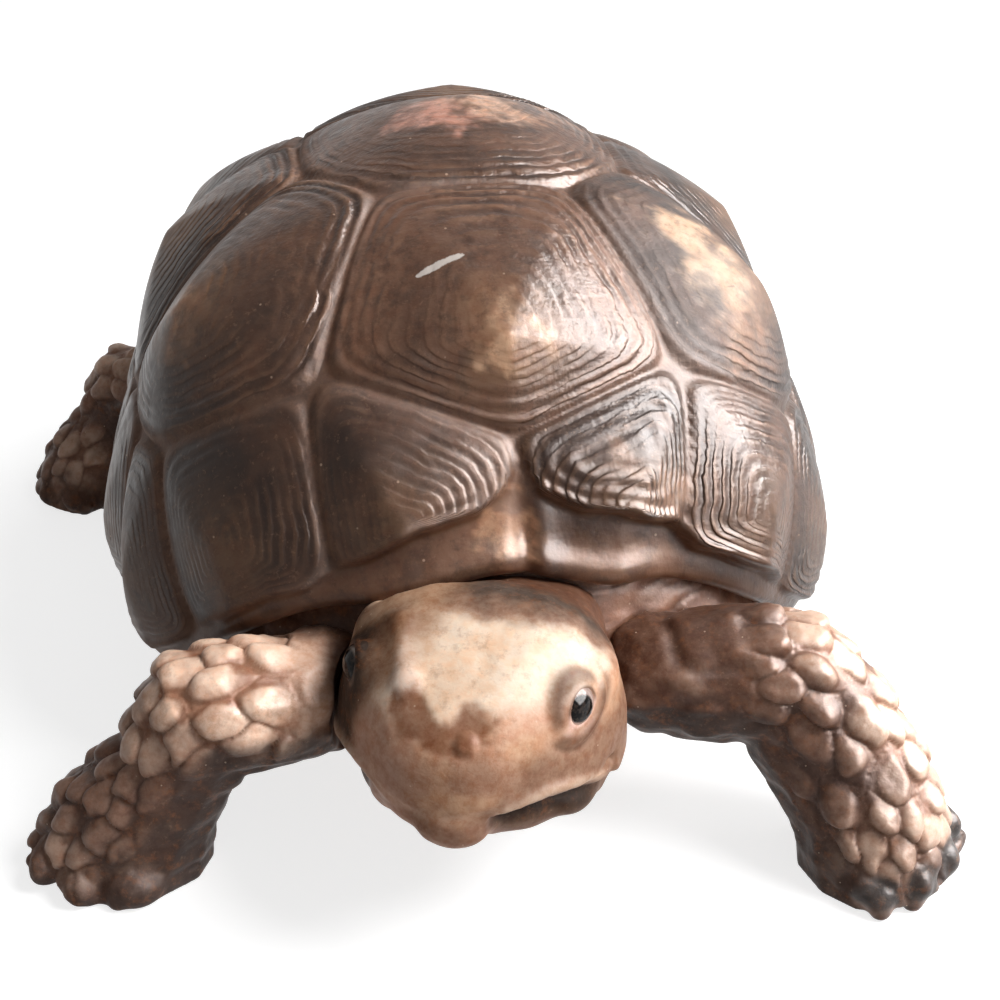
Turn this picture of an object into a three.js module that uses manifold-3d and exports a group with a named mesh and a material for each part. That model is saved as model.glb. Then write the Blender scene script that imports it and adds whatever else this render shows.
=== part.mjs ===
// Moulded tortoise figurine in millimetres.
// +Z is up, the head points towards -Y and the soles stand on Z = 0.
import * as THREE from "three";
import { mergeVertices } from "three/addons/utils/BufferGeometryUtils.js";
import Module from "manifold-3d";

// Carapace: a dome of elliptical profile on a squarish oval plan
const SHELL_FRONT = 46.6;
const SHELL_REAR = 54.6;
const SHELL_HALF_WIDTH = 42.3;
const SHELL_TOP = 65.7;
const SHELL_EQUATOR = 22;
const PLAN_POWER = 2.6;
const DROP_SHARE = 0.6;
const SHELL_WALL = 3;

// Height of the carapace rim above the floor, at the neck, collar, shoulders, bridges, thighs and tail
const RIM_NECK = 34;
const RIM_COLLAR = 31.2;
const RIM_SHOULDER = 14.2;
const RIM_BRIDGE = 12;
const RIM_THIGH = 22;
const RIM_TAIL = 19;
const RIM_ANGLES = [0, 18, 61, 95, 140, 180];
const RIM_ROUND = 0.35;

// Scutes: plateau above the grooves, height of each peak and place of the rows
const GROOVE_DEPTH = 0.9;
const VERTEBRAL_PEAK = 3.1;
const COSTAL_PEAK = 3.6;
const MARGINAL_PEAK = 2.6;
const MIDLINE_SHIFT = 1.8;
const MARGINAL_RISE = 10;
const FRONT_MARGINAL_RISE = 7;
const MARGINAL_ANGLES = [10.5, 38, 56, 75, 95, 115, 135, 155];
const SHOULDER_SHARE = 0.2;
const VERTEBRAL_LEAN = -2.5;
const FRONT_MARGINAL_LEAN = 4;

// Fits between the moulded pieces
const JOINT_GAP = 0.3;
const LIP_HEIGHT = 3.5;
const LIP_ROOM = 1;
const TRAY_WALL = 2.4;
const BELLY_HEIGHT = 7;
const BELLY_FRONT = 36;
const BELLY_REAR = 43;
const BELLY_HALF_WIDTH = 29;

// Loose skin that swells out under the rim round the neck, the arms and the thighs
const FRONT_SWELL = 4.2;
const FRONT_SWELL_END = 78;
const REAR_SWELL = 2.4;
const REAR_SWELL_AT = 130;
const REAR_SWELL_REACH = 30;

// Four posts of the underbody stand in ring bosses of the carapace
const POST_X = 17;
const POST_FRONT_Y = -16;
const POST_REAR_Y = 24;
const POST_RADIUS = 2.5;
const BOSS_WALL = 1.6;
const BOSS_DROP = 7;
const POST_ENTRY = 4.5;
const BOSS_ROOM = 1;

// Head: place, turn, roll and the stations from the neck root to the beak
const HEAD_X = -3.2;
const HEAD_Y = -52;
const HEAD_TURN = 22;
const HEAD_ROLL = 2;
const HEAD_MID = 26;
const HEAD_POWER = 3.1;
const HEAD_TAPER = 0.14;
const JAW_INSET = 1.1;
const MOUTH_BACK = 2;
const MOUTH_HEIGHT = 20.4;
const MOUTH_RISE = 7;
const BEAK_LEFT = 1;
const BEAK_FORWARD = 14.7;
const BEAK_HEIGHT = 20.1;
const BEAK_RADIUS = 2.9;
const BEAK_SHAPE = [1.35, 1, 1.15];
const NOSTRIL_SPREAD = 2.6;
const NOSTRIL_RADIUS = 0.9;
const NOSTRIL_HEIGHT = 30.8;
const NECK_PLUG_RADIUS = 8;

// Eyes: a bead on a stem in a lidded socket
const EYE_FORWARD = 6.4;
const EYE_HEIGHT = 29.2;
const EYE_WAY = [0.9, 0.4, 0.15];
const EYE_RADIUS = 1.6;
const EYE_STEM = 1;
const EYE_DEPTH = 4;
const EYE_FLATNESS = 0.6;
const EYE_STAND = 0.2;
const EYE_STEPS = 4;
const EYE_BACK_TURN = -30;
const LID_RADIUS = 3.4;
const LID_RISE = 0.8;

// Limbs and tail: plugs through the wall of the underbody
const LEG_PLUG_RADIUS = 3.5;
const TAIL_PLUG_RADIUS = 2;
const TAIL_LENGTH = 12;
const TAIL_RADIUS = 5;
const PLUG_LENGTH = 7;
const CLAW_LENGTH = 3.2;
const CLAW_RADIUS = 1.8;

// Facets
const SHELL_SIDES = 88;
const SHELL_RINGS = 24;
const INNER_RINGS = 3;
const WALL_STEPS = 3;
const WALL_BIAS = 1.4;
const LIMB_SIDES = 12;
const LIMB_STEPS = 12;
const HEAD_SIDES = 20;
const HEAD_STEPS = 15;
const BAR_SIDES = 12;

// Colours of the paint and moulding
const SHELL_COLOUR = 0x5a4335;
const SKIN_COLOUR = 0x6b4a38;
const LIMB_COLOUR = 0x8d6b55;
const HEAD_COLOUR = 0xb08c74;
const EYE_COLOUR = 0x0c0b0b;

const { Manifold, Mesh: SolidMesh } = await loadSolids();

async function loadSolids() {
  const wasm = await Module();
  wasm.setup();
  return wasm;
}

function radians(degrees) {
  return (degrees * Math.PI) / 180;
}

function mix(a, b, t) {
  return a + (b - a) * t;
}

// A closed solid from a three.js geometry
function solid(geometry) {
  const plain = geometry.clone();
  plain.deleteAttribute("normal");
  plain.deleteAttribute("uv");
  const merged = mergeVertices(plain, 1e-4);
  const mesh = new SolidMesh({
    numProp: 3,
    vertProperties: new Float32Array(merged.attributes.position.array),
    triVerts: new Uint32Array(merged.index.array),
  });
  mesh.merge();
  return new Manifold(mesh);
}

// A three.js geometry from a solid
function surface(body) {
  const mesh = body.getMesh();
  const geometry = new THREE.BufferGeometry();
  geometry.setAttribute("position", new THREE.BufferAttribute(mesh.vertProperties, 3));
  geometry.setIndex(new THREE.BufferAttribute(mesh.triVerts, 1));
  return geometry;
}

// A skin over rings of equal count, closed at both ends by a fan to the mean of the end ring
function loft(rings) {
  const sides = rings[0].length;
  const points = rings.flat();
  const faces = [];
  for (let k = 0; k + 1 < rings.length; k += 1) {
    for (let i = 0; i < sides; i += 1) {
      const next = (i + 1) % sides;
      const a = k * sides + i;
      const b = k * sides + next;
      const c = (k + 1) * sides + next;
      const d = (k + 1) * sides + i;
      if (foldsFirst(points[a], points[b], points[c], points[d])) {
        faces.push(a, b, c, a, c, d);
      } else {
        faces.push(a, b, d, b, c, d);
      }
    }
  }
  const last = (rings.length - 1) * sides;
  const start = points.length;
  points.push(ringMean(rings[0]), ringMean(rings[rings.length - 1]));
  for (let i = 0; i < sides; i += 1) {
    const next = (i + 1) % sides;
    faces.push(start, next, i);
    faces.push(start + 1, last + i, last + next);
  }
  const geometry = new THREE.BufferGeometry().setFromPoints(points);
  geometry.setIndex(faces);
  return geometry;
}

// A four-sided face folds along its low points, or else along its shorter diagonal
function foldsFirst(a, b, c, d) {
  const rise = (p) => p.lift ?? 0;
  const step = rise(a) + rise(c) - rise(b) - rise(d);
  return step === 0 ? a.distanceTo(c) <= b.distanceTo(d) : step < 0;
}

function ringMean(ring) {
  const sum = new THREE.Vector3();
  ring.forEach((p) => sum.add(p));
  return sum.divideScalar(ring.length);
}

// The solid of a skin over rings, turned to face out
function skin(rings) {
  const body = solid(loft(rings));
  return body.volume() > 0 ? body : solid(loft(rings.slice().reverse()));
}

function ball(at, radii) {
  const geometry = new THREE.SphereGeometry(1, 10, 6);
  geometry.scale(radii.x, radii.y, radii.z);
  geometry.translate(at.x, at.y, at.z);
  return solid(geometry);
}

// A round bar between two points
function bar(from, to, radius) {
  const along = to.clone().sub(from);
  const geometry = new THREE.CylinderGeometry(radius, radius, along.length(), BAR_SIDES);
  const turn = new THREE.Quaternion();
  turn.setFromUnitVectors(new THREE.Vector3(0, 1, 0), along.clone().normalize());
  geometry.applyQuaternion(turn);
  const middle = from.clone().add(to).multiplyScalar(0.5);
  geometry.translate(middle.x, middle.y, middle.z);
  return solid(geometry);
}

// Plan outline of an oval: distance from the axis at an angle from the front, towards +X
function planRadius(angle, front, rear, halfWidth) {
  const length = Math.cos(angle) > 0 ? front : rear;
  const across = Math.abs(Math.sin(angle) / halfWidth) ** PLAN_POWER;
  const along = Math.abs(Math.cos(angle) / length) ** PLAN_POWER;
  return (across + along) ** (-1 / PLAN_POWER);
}

function spot(angle, radius, height) {
  return new THREE.Vector3(radius * Math.sin(angle), -radius * Math.cos(angle), height);
}

// The plain dome, drawn in by an inset
function domeRise(height, inset) {
  const rise = SHELL_TOP - SHELL_EQUATOR;
  return (height >= SHELL_EQUATOR ? rise : rise * DROP_SHARE) - inset;
}

function domeRadius(angle, height, inset) {
  const equator = planRadius(angle, SHELL_FRONT - inset, SHELL_REAR - inset, SHELL_HALF_WIDTH - inset);
  const share = (height - SHELL_EQUATOR) / domeRise(height, inset);
  return equator * Math.sqrt(Math.max(0, 1 - share * share));
}

function domeNormal(p) {
  const length = p.y < 0 ? SHELL_FRONT : SHELL_REAR;
  const across = Math.abs(p.x / SHELL_HALF_WIDTH);
  const along = Math.abs(p.y / length);
  const plan = Math.max(1e-9, across ** PLAN_POWER + along ** PLAN_POWER) ** (2 / PLAN_POWER - 1);
  const rise = domeRise(p.z, 0);
  return new THREE.Vector3(
    (Math.sign(p.x) * plan * across ** (PLAN_POWER - 1)) / SHELL_HALF_WIDTH,
    (Math.sign(p.y) * plan * along ** (PLAN_POWER - 1)) / length,
    (p.z - SHELL_EQUATOR) / (rise * rise),
  ).normalize();
}

// Back onto the dome along the line from its middle
function ontoDome(p) {
  const length = p.y < 0 ? SHELL_FRONT : SHELL_REAR;
  const plan = Math.abs(p.x / SHELL_HALF_WIDTH) ** PLAN_POWER + Math.abs(p.y / length) ** PLAN_POWER;
  const share = (p.z - SHELL_EQUATOR) / domeRise(p.z, 0);
  const scale = 1 / Math.sqrt(plan ** (2 / PLAN_POWER) + share * share);
  return new THREE.Vector3(p.x * scale, p.y * scale, SHELL_EQUATOR + (p.z - SHELL_EQUATOR) * scale);
}

function domeOver(x, y) {
  const length = y < 0 ? SHELL_FRONT : SHELL_REAR;
  const plan = Math.abs(x / SHELL_HALF_WIDTH) ** PLAN_POWER + Math.abs(y / length) ** PLAN_POWER;
  const height = (SHELL_TOP - SHELL_EQUATOR) * Math.sqrt(1 - plan ** (2 / PLAN_POWER));
  return new THREE.Vector3(x, y, SHELL_EQUATOR + height);
}

// Rim height round the shell, eased from one named height to the next
function rimHeight(angle) {
  const stops = RIM_ANGLES.map(radians);
  const heights = [RIM_NECK, RIM_COLLAR, RIM_SHOULDER, RIM_BRIDGE, RIM_THIGH, RIM_TAIL];
  const turn = Math.abs(Math.atan2(Math.sin(angle), Math.cos(angle)));
  const k = Math.min(stops.length - 2, stops.findLastIndex((stop) => turn >= stop));
  const t = (turn - stops[k]) / (stops[k + 1] - stops[k]);
  return mix(heights[k], heights[k + 1], (1 - Math.cos(Math.PI * t)) / 2);
}

// Scutes: five vertebrals down the back, four pairs of costals,
// marginals round the rim and one over the tail
function makeScutes() {
  const scutes = [];
  const back = [-0.67, 0.14, 0.46, 0.7, 0.91];
  back.forEach((share) => {
    const y = share * (share < 0 ? SHELL_FRONT : SHELL_REAR);
    scutes.push({ seed: domeOver(MIDLINE_SHIFT, y), lean: [0, VERTEBRAL_LEAN, 0], peak: VERTEBRAL_PEAK });
  });
  const flanks = [[0.7, -0.36, 0], [0.8, 0.11, 4.5], [0.75, 0.49, 4.5], [0.5, 0.77, 2]];
  flanks.forEach(([across, along, inward]) => {
    [-1, 1].forEach((side) => {
      const y = along * (along < 0 ? SHELL_FRONT : SHELL_REAR);
      const seed = domeOver(side * across * SHELL_HALF_WIDTH, y);
      scutes.push({ seed, lean: [-side * inward, 0, 0], peak: COSTAL_PEAK });
    });
  });
  MARGINAL_ANGLES.forEach((angle, k) => {
    [-1, 1].forEach((side) => {
      const front = k === 0;
      const scute = marginal(side * radians(angle), front ? FRONT_MARGINAL_RISE : MARGINAL_RISE);
      if (front) {
        scute.seed.x += MIDLINE_SHIFT;
        scute.lean = [side * FRONT_MARGINAL_LEAN, 0, 0];
      }
      scutes.push(scute);
    });
  });
  scutes.push(marginal(Math.PI, MARGINAL_RISE));
  scutes.forEach((scute) => {
    scute.tip = ontoDome(scute.seed.clone().add(new THREE.Vector3(...scute.lean)));
  });
  return scutes;
}

function marginal(angle, rise) {
  const height = rimHeight(angle) + rise;
  const seed = spot(angle, domeRadius(angle, height, 0), height);
  return { seed, lean: [0, 0, 0], peak: MARGINAL_PEAK };
}

const SCUTES = makeScutes();

function nearestScute(p) {
  let nearest = SCUTES[0];
  SCUTES.forEach((scute) => {
    if (p.distanceToSquared(scute.seed) < p.distanceToSquared(nearest.seed)) {
      nearest = scute;
    }
  });
  return nearest;
}

// How far a point is from its scute's peak to its border: 0 at the peak, 1 at the border
function scuteGauge(p, scute) {
  let gauge = 0;
  SCUTES.forEach((other) => {
    if (other === scute) {
      return;
    }
    const across = other.seed.clone().sub(scute.seed);
    const border = other.seed.clone().add(scute.seed).multiplyScalar(0.5).sub(scute.tip).dot(across);
    gauge = Math.max(gauge, p.clone().sub(scute.tip).dot(across) / border);
  });
  return Math.min(1, gauge);
}

function scuteRelief(p) {
  const scute = nearestScute(p);
  const gauge = scuteGauge(p, scute);
  const shoulder = Math.min(1, (1 - gauge) / SHOULDER_SHARE);
  return GROOVE_DEPTH * shoulder + scute.peak * (1 - gauge);
}

// A grid point close to a scute border is moved onto the border, so that the grooves run clean
function ontoBorder(p, reach) {
  const home = nearestScute(p);
  let shift = new THREE.Vector3();
  let least = reach;
  SCUTES.forEach((other) => {
    if (other === home) {
      return;
    }
    const across = other.seed.clone().sub(home.seed).normalize();
    const middle = other.seed.clone().add(home.seed).multiplyScalar(0.5);
    const away = middle.sub(p).dot(across);
    if (away < least) {
      least = away;
      shift = across.multiplyScalar(away);
    }
  });
  return ontoDome(p.clone().add(shift));
}

// Angles round the shell that divide the length of its outline evenly
function evenAngles(count) {
  const fine = 40 * count;
  const lengths = [0];
  for (let i = 1; i <= fine; i += 1) {
    const [before, after] = [i - 1, i].map((n) => domeGridPoint((2 * Math.PI * n) / fine, Math.PI / 2));
    lengths.push(lengths[i - 1] + before.distanceTo(after));
  }
  const angles = [];
  for (let k = 0; k < count; k += 1) {
    const at = lengths.findIndex((length) => length >= (lengths[fine] * k) / count);
    angles.push((2 * Math.PI * at) / fine);
  }
  return angles;
}

const ANGLES = evenAngles(SHELL_SIDES);

function rimAngle(angle) {
  const share = (rimHeight(angle) - SHELL_EQUATOR) / domeRise(rimHeight(angle), 0);
  return Math.acos(share);
}

function domeGridPoint(angle, slope) {
  const rise = SHELL_TOP - SHELL_EQUATOR;
  const height = SHELL_EQUATOR + Math.cos(slope) * (slope < Math.PI / 2 ? rise : rise * DROP_SHARE);
  return spot(angle, domeRadius(angle, height, 0), height);
}

// Outer face of the carapace from the crown to the rim, with the scutes raised and the whole grown outward
function outerRings(grow) {
  const reach = domeGridPoint(0, Math.PI / 2).distanceTo(domeGridPoint(ANGLES[1], Math.PI / 2)) * 0.5;
  const rings = [];
  for (let k = 1; k <= SHELL_RINGS; k += 1) {
    const ring = [];
    for (const angle of ANGLES) {
      const plain = domeGridPoint(angle, (rimAngle(angle) * k) / SHELL_RINGS);
      const held = k < 4 || k === SHELL_RINGS ? plain : ontoBorder(plain, reach);
      const height = scuteRelief(held);
      const raised = held.clone().addScaledVector(domeNormal(held), height + grow);
      raised.lift = height;
      ring.push(raised);
    }
    rings.push(ring);
  }
  return rings;
}

function innerRing(inset, rise) {
  return ANGLES.map((angle) => {
    const height = rimHeight(angle) + rise;
    return spot(angle, domeRadius(angle, height, inset), height);
  });
}

// The carapace: a hollow dome with a rounded rim and four ring bosses under its roof
function makeCarapace() {
  const rings = outerRings(0);
  const outerRim = rings[rings.length - 1];
  const innerRim = innerRing(SHELL_WALL, 0);
  const bead = outerRim.map((p, i) => {
    const middle = p.clone().add(innerRim[i]).multiplyScalar(0.5);
    return middle.setZ(middle.z - SHELL_WALL * RIM_ROUND);
  });
  rings.push(bead, innerRim, innerRing(SHELL_WALL, LIP_HEIGHT + LIP_ROOM));
  for (let k = INNER_RINGS; k >= 1; k -= 1) {
    const ring = ANGLES.map((angle) => {
      const low = rimHeight(angle) + LIP_HEIGHT + LIP_ROOM;
      const lowSlope = Math.acos((low - SHELL_EQUATOR) / domeRise(low, SHELL_WALL));
      const slope = (lowSlope * k) / (INNER_RINGS + 1);
      const rise = domeRise(SHELL_EQUATOR + Math.cos(slope), SHELL_WALL);
      const height = SHELL_EQUATOR + rise * Math.cos(slope);
      return spot(angle, domeRadius(angle, height, SHELL_WALL), height);
    });
    rings.push(ring);
  }
  let shell = skin(rings);
  posts().forEach((post) => {
    const roof = domeOver(post.x, post.y);
    const top = post.clone().setZ(roof.z - SHELL_WALL * 0.5);
    const foot = post.clone().setZ(bossFoot(post));
    const boss = bar(foot, top, POST_RADIUS + JOINT_GAP + BOSS_WALL);
    const mouth = foot.clone().setZ(foot.z - BOSS_ROOM);
    const end = foot.clone().setZ(foot.z + POST_ENTRY + BOSS_ROOM);
    shell = shell.add(boss).subtract(bar(mouth, end, POST_RADIUS + JOINT_GAP));
  });
  return shell;
}

function posts() {
  const corners = [[-1, POST_FRONT_Y], [1, POST_FRONT_Y], [-1, POST_REAR_Y], [1, POST_REAR_Y]];
  return corners.map(([side, y]) => new THREE.Vector3(side * POST_X, y, 0));
}

function bossFoot(post) {
  return domeOver(post.x, post.y).z - SHELL_WALL - BOSS_DROP;
}

// Everything inside the outer face of the carapace, for cutting its neighbours back
function filledShell(grow) {
  const rings = outerRings(grow);
  const rim = rings[rings.length - 1];
  rings.push(rim.map((p) => p.clone().setZ(p.z - SHELL_WALL * RIM_ROUND - grow)));
  return skin(rings);
}

// How far the loose skin stands out from the plain wall at an angle
function skinSwell(angle, share) {
  const turn = Math.abs(Math.atan2(Math.sin(angle), Math.cos(angle)));
  const front = Math.max(0, Math.cos((Math.min(1, turn / radians(FRONT_SWELL_END)) ** 2 * Math.PI) / 2));
  const away = Math.min(1, Math.abs(turn - radians(REAR_SWELL_AT)) / radians(REAR_SWELL_REACH));
  const rear = Math.cos((away * Math.PI) / 2) ** 2;
  return (FRONT_SWELL * front + REAR_SWELL * rear) * Math.sin(Math.PI * Math.sqrt(share));
}

// Side wall of the underbody with its loose skin
function trayWall(angle, share, inset) {
  const plain = plainWall(angle, share, inset);
  return plain.add(spot(angle, skinSwell(angle, share), 0));
}

// The plain wall at an angle: from the lip inside the rim down and in to the belly
function plainWall(angle, share, inset) {
  const rim = rimHeight(angle);
  const lipRadius = domeRadius(angle, rim, SHELL_WALL + JOINT_GAP) - inset;
  const bellyRadius = planRadius(angle, BELLY_FRONT, BELLY_REAR, BELLY_HALF_WIDTH) - inset;
  const floor = BELLY_HEIGHT + inset;
  const a = (1 - share) ** 2;
  const b = 2 * share * (1 - share);
  const c = share ** 2;
  const radius = a * lipRadius + b * mix(bellyRadius, lipRadius, 0.85) + c * bellyRadius;
  const height = a * rim + b * mix(floor, rim, 0.18) + c * floor;
  return spot(angle, radius, height);
}

function traySide(inset) {
  const rings = [innerRing(SHELL_WALL + JOINT_GAP + inset, LIP_HEIGHT)];
  for (let k = 0; k <= WALL_STEPS; k += 1) {
    const share = (k / WALL_STEPS) ** WALL_BIAS;
    rings.push(ANGLES.map((angle) => trayWall(angle, share, inset)));
  }
  return rings;
}

function filledTray(grow) {
  return skin(traySide(-grow));
}

// The underbody: plastron, bridges and the skin round the limbs in one open tray with four posts
function makeTray() {
  const inside = traySide(TRAY_WALL).reverse();
  let tray = skin([...inside, ...traySide(0)]);
  posts().forEach((post) => {
    const foot = post.clone().setZ(BELLY_HEIGHT + TRAY_WALL * 0.5);
    const head = post.clone().setZ(bossFoot(post) + POST_ENTRY);
    tray = tray.add(bar(foot, head, POST_RADIUS));
  });
  return tray;
}

// A limb of round sections along a smooth line through its stations: x, y, z, width and depth
function limb(stations) {
  const line = new THREE.CatmullRomCurve3(stations.map((s) => new THREE.Vector3(s[0], s[1], s[2])));
  const girth = new THREE.CatmullRomCurve3(stations.map((s) => new THREE.Vector3(s[3], s[4], 0)));
  const rings = [];
  let side = new THREE.Vector3(0, 0, 1);
  for (let k = 0; k <= LIMB_STEPS; k += 1) {
    const t = k / LIMB_STEPS;
    const middle = line.getPoint(t);
    const along = line.getTangent(t);
    const size = girth.getPoint(t);
    side = side.clone().addScaledVector(along, -side.dot(along)).normalize();
    const cross = along.clone().cross(side);
    const ring = [];
    for (let i = 0; i < LIMB_SIDES; i += 1) {
      const turn = (2 * Math.PI * i) / LIMB_SIDES;
      const p = middle.clone();
      p.addScaledVector(side, Math.cos(turn) * size.y);
      p.addScaledVector(cross, Math.sin(turn) * size.x);
      ring.push(p);
    }
    rings.push(ring);
  }
  return skin(rings);
}

// A blunt claw lying on the floor, pointing out from the foot
function claw(x, y, heading) {
  const geometry = new THREE.SphereGeometry(1, 8, 5);
  geometry.scale(CLAW_RADIUS, CLAW_LENGTH, CLAW_RADIUS * 1.15);
  geometry.rotateX(radians(14));
  geometry.rotateZ(radians(heading));
  geometry.translate(x, y, CLAW_RADIUS * 0.75);
  return solid(geometry);
}

const SHELL_CUT = filledShell(JOINT_GAP);
const TRAY_CUT = filledTray(JOINT_GAP);
const REACH = SHELL_FRONT + SHELL_REAR + SHELL_HALF_WIDTH;

function floorCut() {
  const slab = new THREE.BoxGeometry(REACH * 2, REACH * 2, REACH);
  slab.translate(0, 0, -REACH / 2);
  return solid(slab);
}

const FLOOR = floorCut();

// A limb is cut back to the underbody, the carapace and the floor, and gets a plug through the wall
function seated(body, plug) {
  return body.subtract(TRAY_CUT).subtract(SHELL_CUT).subtract(FLOOR).add(plug);
}

// Where a plug passes the wall: its outer end in the limb and its inner end inside the tray
function plugLine(angle, share, outward) {
  const wall = trayWall(radians(angle), share, 0);
  const inward = new THREE.Vector3(-wall.x, -wall.y, 0).normalize();
  const inner = wall.clone().addScaledVector(inward, PLUG_LENGTH - 2);
  const outer = wall.clone().addScaledVector(inward, -outward);
  return [inner, outer];
}

// Legs: angle of the shoulder or hip from the front, its place down the wall and the limb's stations.
// A station gives the way from the shoulder across and along, the height above the floor and two half-widths.
const LEGS = {
  right_front_leg: {
    angle: -27,
    share: 0.42,
    stations: [
      [6, 6, 20, 6.5, 6.5],
      [-1, -7.7, 20, 7, 7],
      [-6.6, -9.2, 20.5, 7, 7.2],
      [-12.8, -9.2, 20, 7, 7.8],
      [-16.4, -9, 13, 6.8, 6.8],
      [-21.4, -9, 6.5, 7, 9.2],
      [-24.2, -9.1, -0.5, 7.2, 10.2],
    ],
    claws: [[-30.8, -10.4, 75], [-27.8, -13.6, 35], [-23.8, -14.4, 5], [-17, -11.4, -25]],
  },
  left_front_leg: {
    angle: 25,
    share: 0.42,
    stations: [
      [-6, 6, 20, 6.5, 6.5],
      [-0.6, -7.2, 19.5, 7, 7],
      [6.4, -9.7, 20.4, 7, 8],
      [12.6, -11.2, 20, 7.2, 8.6],
      [17.4, -14.5, 13.5, 7.6, 8.8],
      [20.9, -18.2, 7, 8, 8.6],
      [22.4, -19.7, -0.5, 8.2, 8.8],
    ],
    claws: [[20.4, -25.7, -8], [24.7, -25, -25], [28.4, -22.2, -45], [30.4, -19.2, -70]],
  },
  right_rear_leg: {
    angle: -128,
    share: 0.4,
    stations: [
      [6, -4, 14, 8, 8],
      [-2, 3.4, 15.5, 8, 8],
      [-12, 11.4, 18, 6.6, 6.4],
      [-16.5, 11.4, 11, 5.6, 5.4],
      [-21, 10, 5.5, 6.2, 6.2],
      [-22.5, 9.4, -0.5, 6.6, 6.8],
    ],
    claws: [[-25.5, 7.4, 60], [-21.5, 5.2, 20], [-17, 6, -10]],
  },
  left_rear_leg: {
    angle: 128,
    share: 0.4,
    stations: [
      [-6, -4, 14, 8, 8],
      [2, 4, 15.5, 8, 8],
      [10.5, 12, 18, 6.6, 6.4],
      [13.5, 13, 11, 5.6, 5.4],
      [16.5, 12.6, 5.5, 6.2, 6.2],
      [17.5, 12, -0.5, 6.6, 6.8],
    ],
    claws: [[22, 9.5, -60], [18.5, 7, -20], [14, 7.5, 10]],
  },
};

function makeLeg({ angle, share, stations, claws }) {
  const root = plainWall(radians(angle), share, 0);
  const placed = stations.map((s) => [root.x + s[0], root.y + s[1], s[2], s[3], s[4]]);
  let body = limb(placed);
  claws.forEach(([x, y, heading]) => {
    body = body.add(claw(root.x + x, root.y + y, heading));
  });
  const [inner, outer] = plugLine(angle, share, 3);
  const leg = seated(body.subtract(HEAD_CUT), bar(inner, outer, LEG_PLUG_RADIUS));
  const hole = bar(inner.clone().lerp(outer, -0.2), outer, LEG_PLUG_RADIUS + JOINT_GAP);
  return { leg, hole };
}

// Head stations: forward of the head's place, half-width, top and bottom
const HEAD_STATIONS = [
  [-20, 10, 31, 15],
  [-14, 11, 31.5, 15],
  [-8, 12.4, 33, 13.8],
  [-4, 14.6, 34.8, 12.6],
  [0, 15, 35.6, 12.2],
  [4, 14.2, 34.9, 11.8],
  [8, 12.6, 33.6, 12.4],
  [11, 10.6, 32.4, 13.8],
  [13.5, 8, 31, 16.2],
  [15.5, 5.8, 28.4, 17.2],
  [17, 2.8, 23.5, 18.8],
];

// Smooth lines through the stations: forward with top and bottom, and forward with half-width
const HEAD_LINE = new THREE.CatmullRomCurve3(HEAD_STATIONS.map((s) => new THREE.Vector3(s[0], s[2], s[3])));
const HEAD_GIRTH = new THREE.CatmullRomCurve3(HEAD_STATIONS.map((s) => new THREE.Vector3(s[0], s[1], 0)));

// A point of the head's own frame: to its left, forward and up
function headPoint(left, forward, height) {
  const roll = radians(HEAD_ROLL);
  const turn = radians(HEAD_TURN);
  const up = height - HEAD_MID;
  const side = left * Math.cos(roll) + up * Math.sin(roll);
  const rise = HEAD_MID + up * Math.cos(roll) - left * Math.sin(roll);
  const x = HEAD_X + side * Math.cos(turn) - forward * Math.sin(turn);
  const y = HEAD_Y - forward * Math.cos(turn) - side * Math.sin(turn);
  return new THREE.Vector3(x, y, rise);
}

function headSection(t, inset) {
  const along = HEAD_LINE.getPoint(t);
  const half = Math.max(0.3, HEAD_GIRTH.getPoint(t).y - inset);
  const tall = Math.max(0.3, (along.y - along.z) / 2 - inset);
  return { forward: along.x, half, tall, middle: (along.y + along.z) / 2 };
}

function headSkin(inset) {
  const rings = [];
  for (let k = 0; k <= HEAD_STEPS; k += 1) {
    const { forward, half, tall, middle } = headSection(k / HEAD_STEPS, inset);
    const ring = [];
    for (let i = 0; i < HEAD_SIDES; i += 1) {
      const turn = (2 * Math.PI * i) / HEAD_SIDES;
      const across = Math.sign(Math.cos(turn)) * Math.abs(Math.cos(turn)) ** (2 / HEAD_POWER);
      const up = Math.sign(Math.sin(turn)) * Math.abs(Math.sin(turn)) ** (2 / HEAD_POWER);
      ring.push(headPoint(across * half * (1 - HEAD_TAPER * up), forward, middle + up * tall));
    }
    rings.push(ring);
  }
  return skin(rings);
}

// Half-width of the head at a place forward and a height
function headHalfWidth(forward, height) {
  let t = 0;
  while (t < 1 && HEAD_LINE.getPoint(t).x < forward) {
    t += 0.005;
  }
  const { half, tall, middle } = headSection(t, 0);
  const up = (height - middle) / tall;
  return half * (1 - HEAD_TAPER * up) * (1 - Math.abs(up) ** HEAD_POWER) ** (1 / HEAD_POWER);
}

// What is taken off below the mouth line, so that the beak overhangs the lower jaw
function jawTrim() {
  const block = new THREE.BoxGeometry(SHELL_HALF_WIDTH * 2, SHELL_HALF_WIDTH, SHELL_EQUATOR);
  block.translate(0, -SHELL_HALF_WIDTH / 2, -SHELL_EQUATOR / 2);
  block.rotateX(radians(-MOUTH_RISE));
  block.rotateZ(radians(-HEAD_TURN));
  const corner = headPoint(0, MOUTH_BACK, MOUTH_HEIGHT);
  block.translate(corner.x, corner.y, corner.z);
  return solid(block).subtract(headSkin(JAW_INSET));
}

function nostril(side) {
  let t = 1;
  while (t > 0 && HEAD_LINE.getPoint(t).y < NOSTRIL_HEIGHT) {
    t -= 0.005;
  }
  const at = headPoint(side * NOSTRIL_SPREAD, HEAD_LINE.getPoint(t).x, NOSTRIL_HEIGHT);
  return ball(at, new THREE.Vector3(NOSTRIL_RADIUS, NOSTRIL_RADIUS, NOSTRIL_RADIUS));
}

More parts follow.
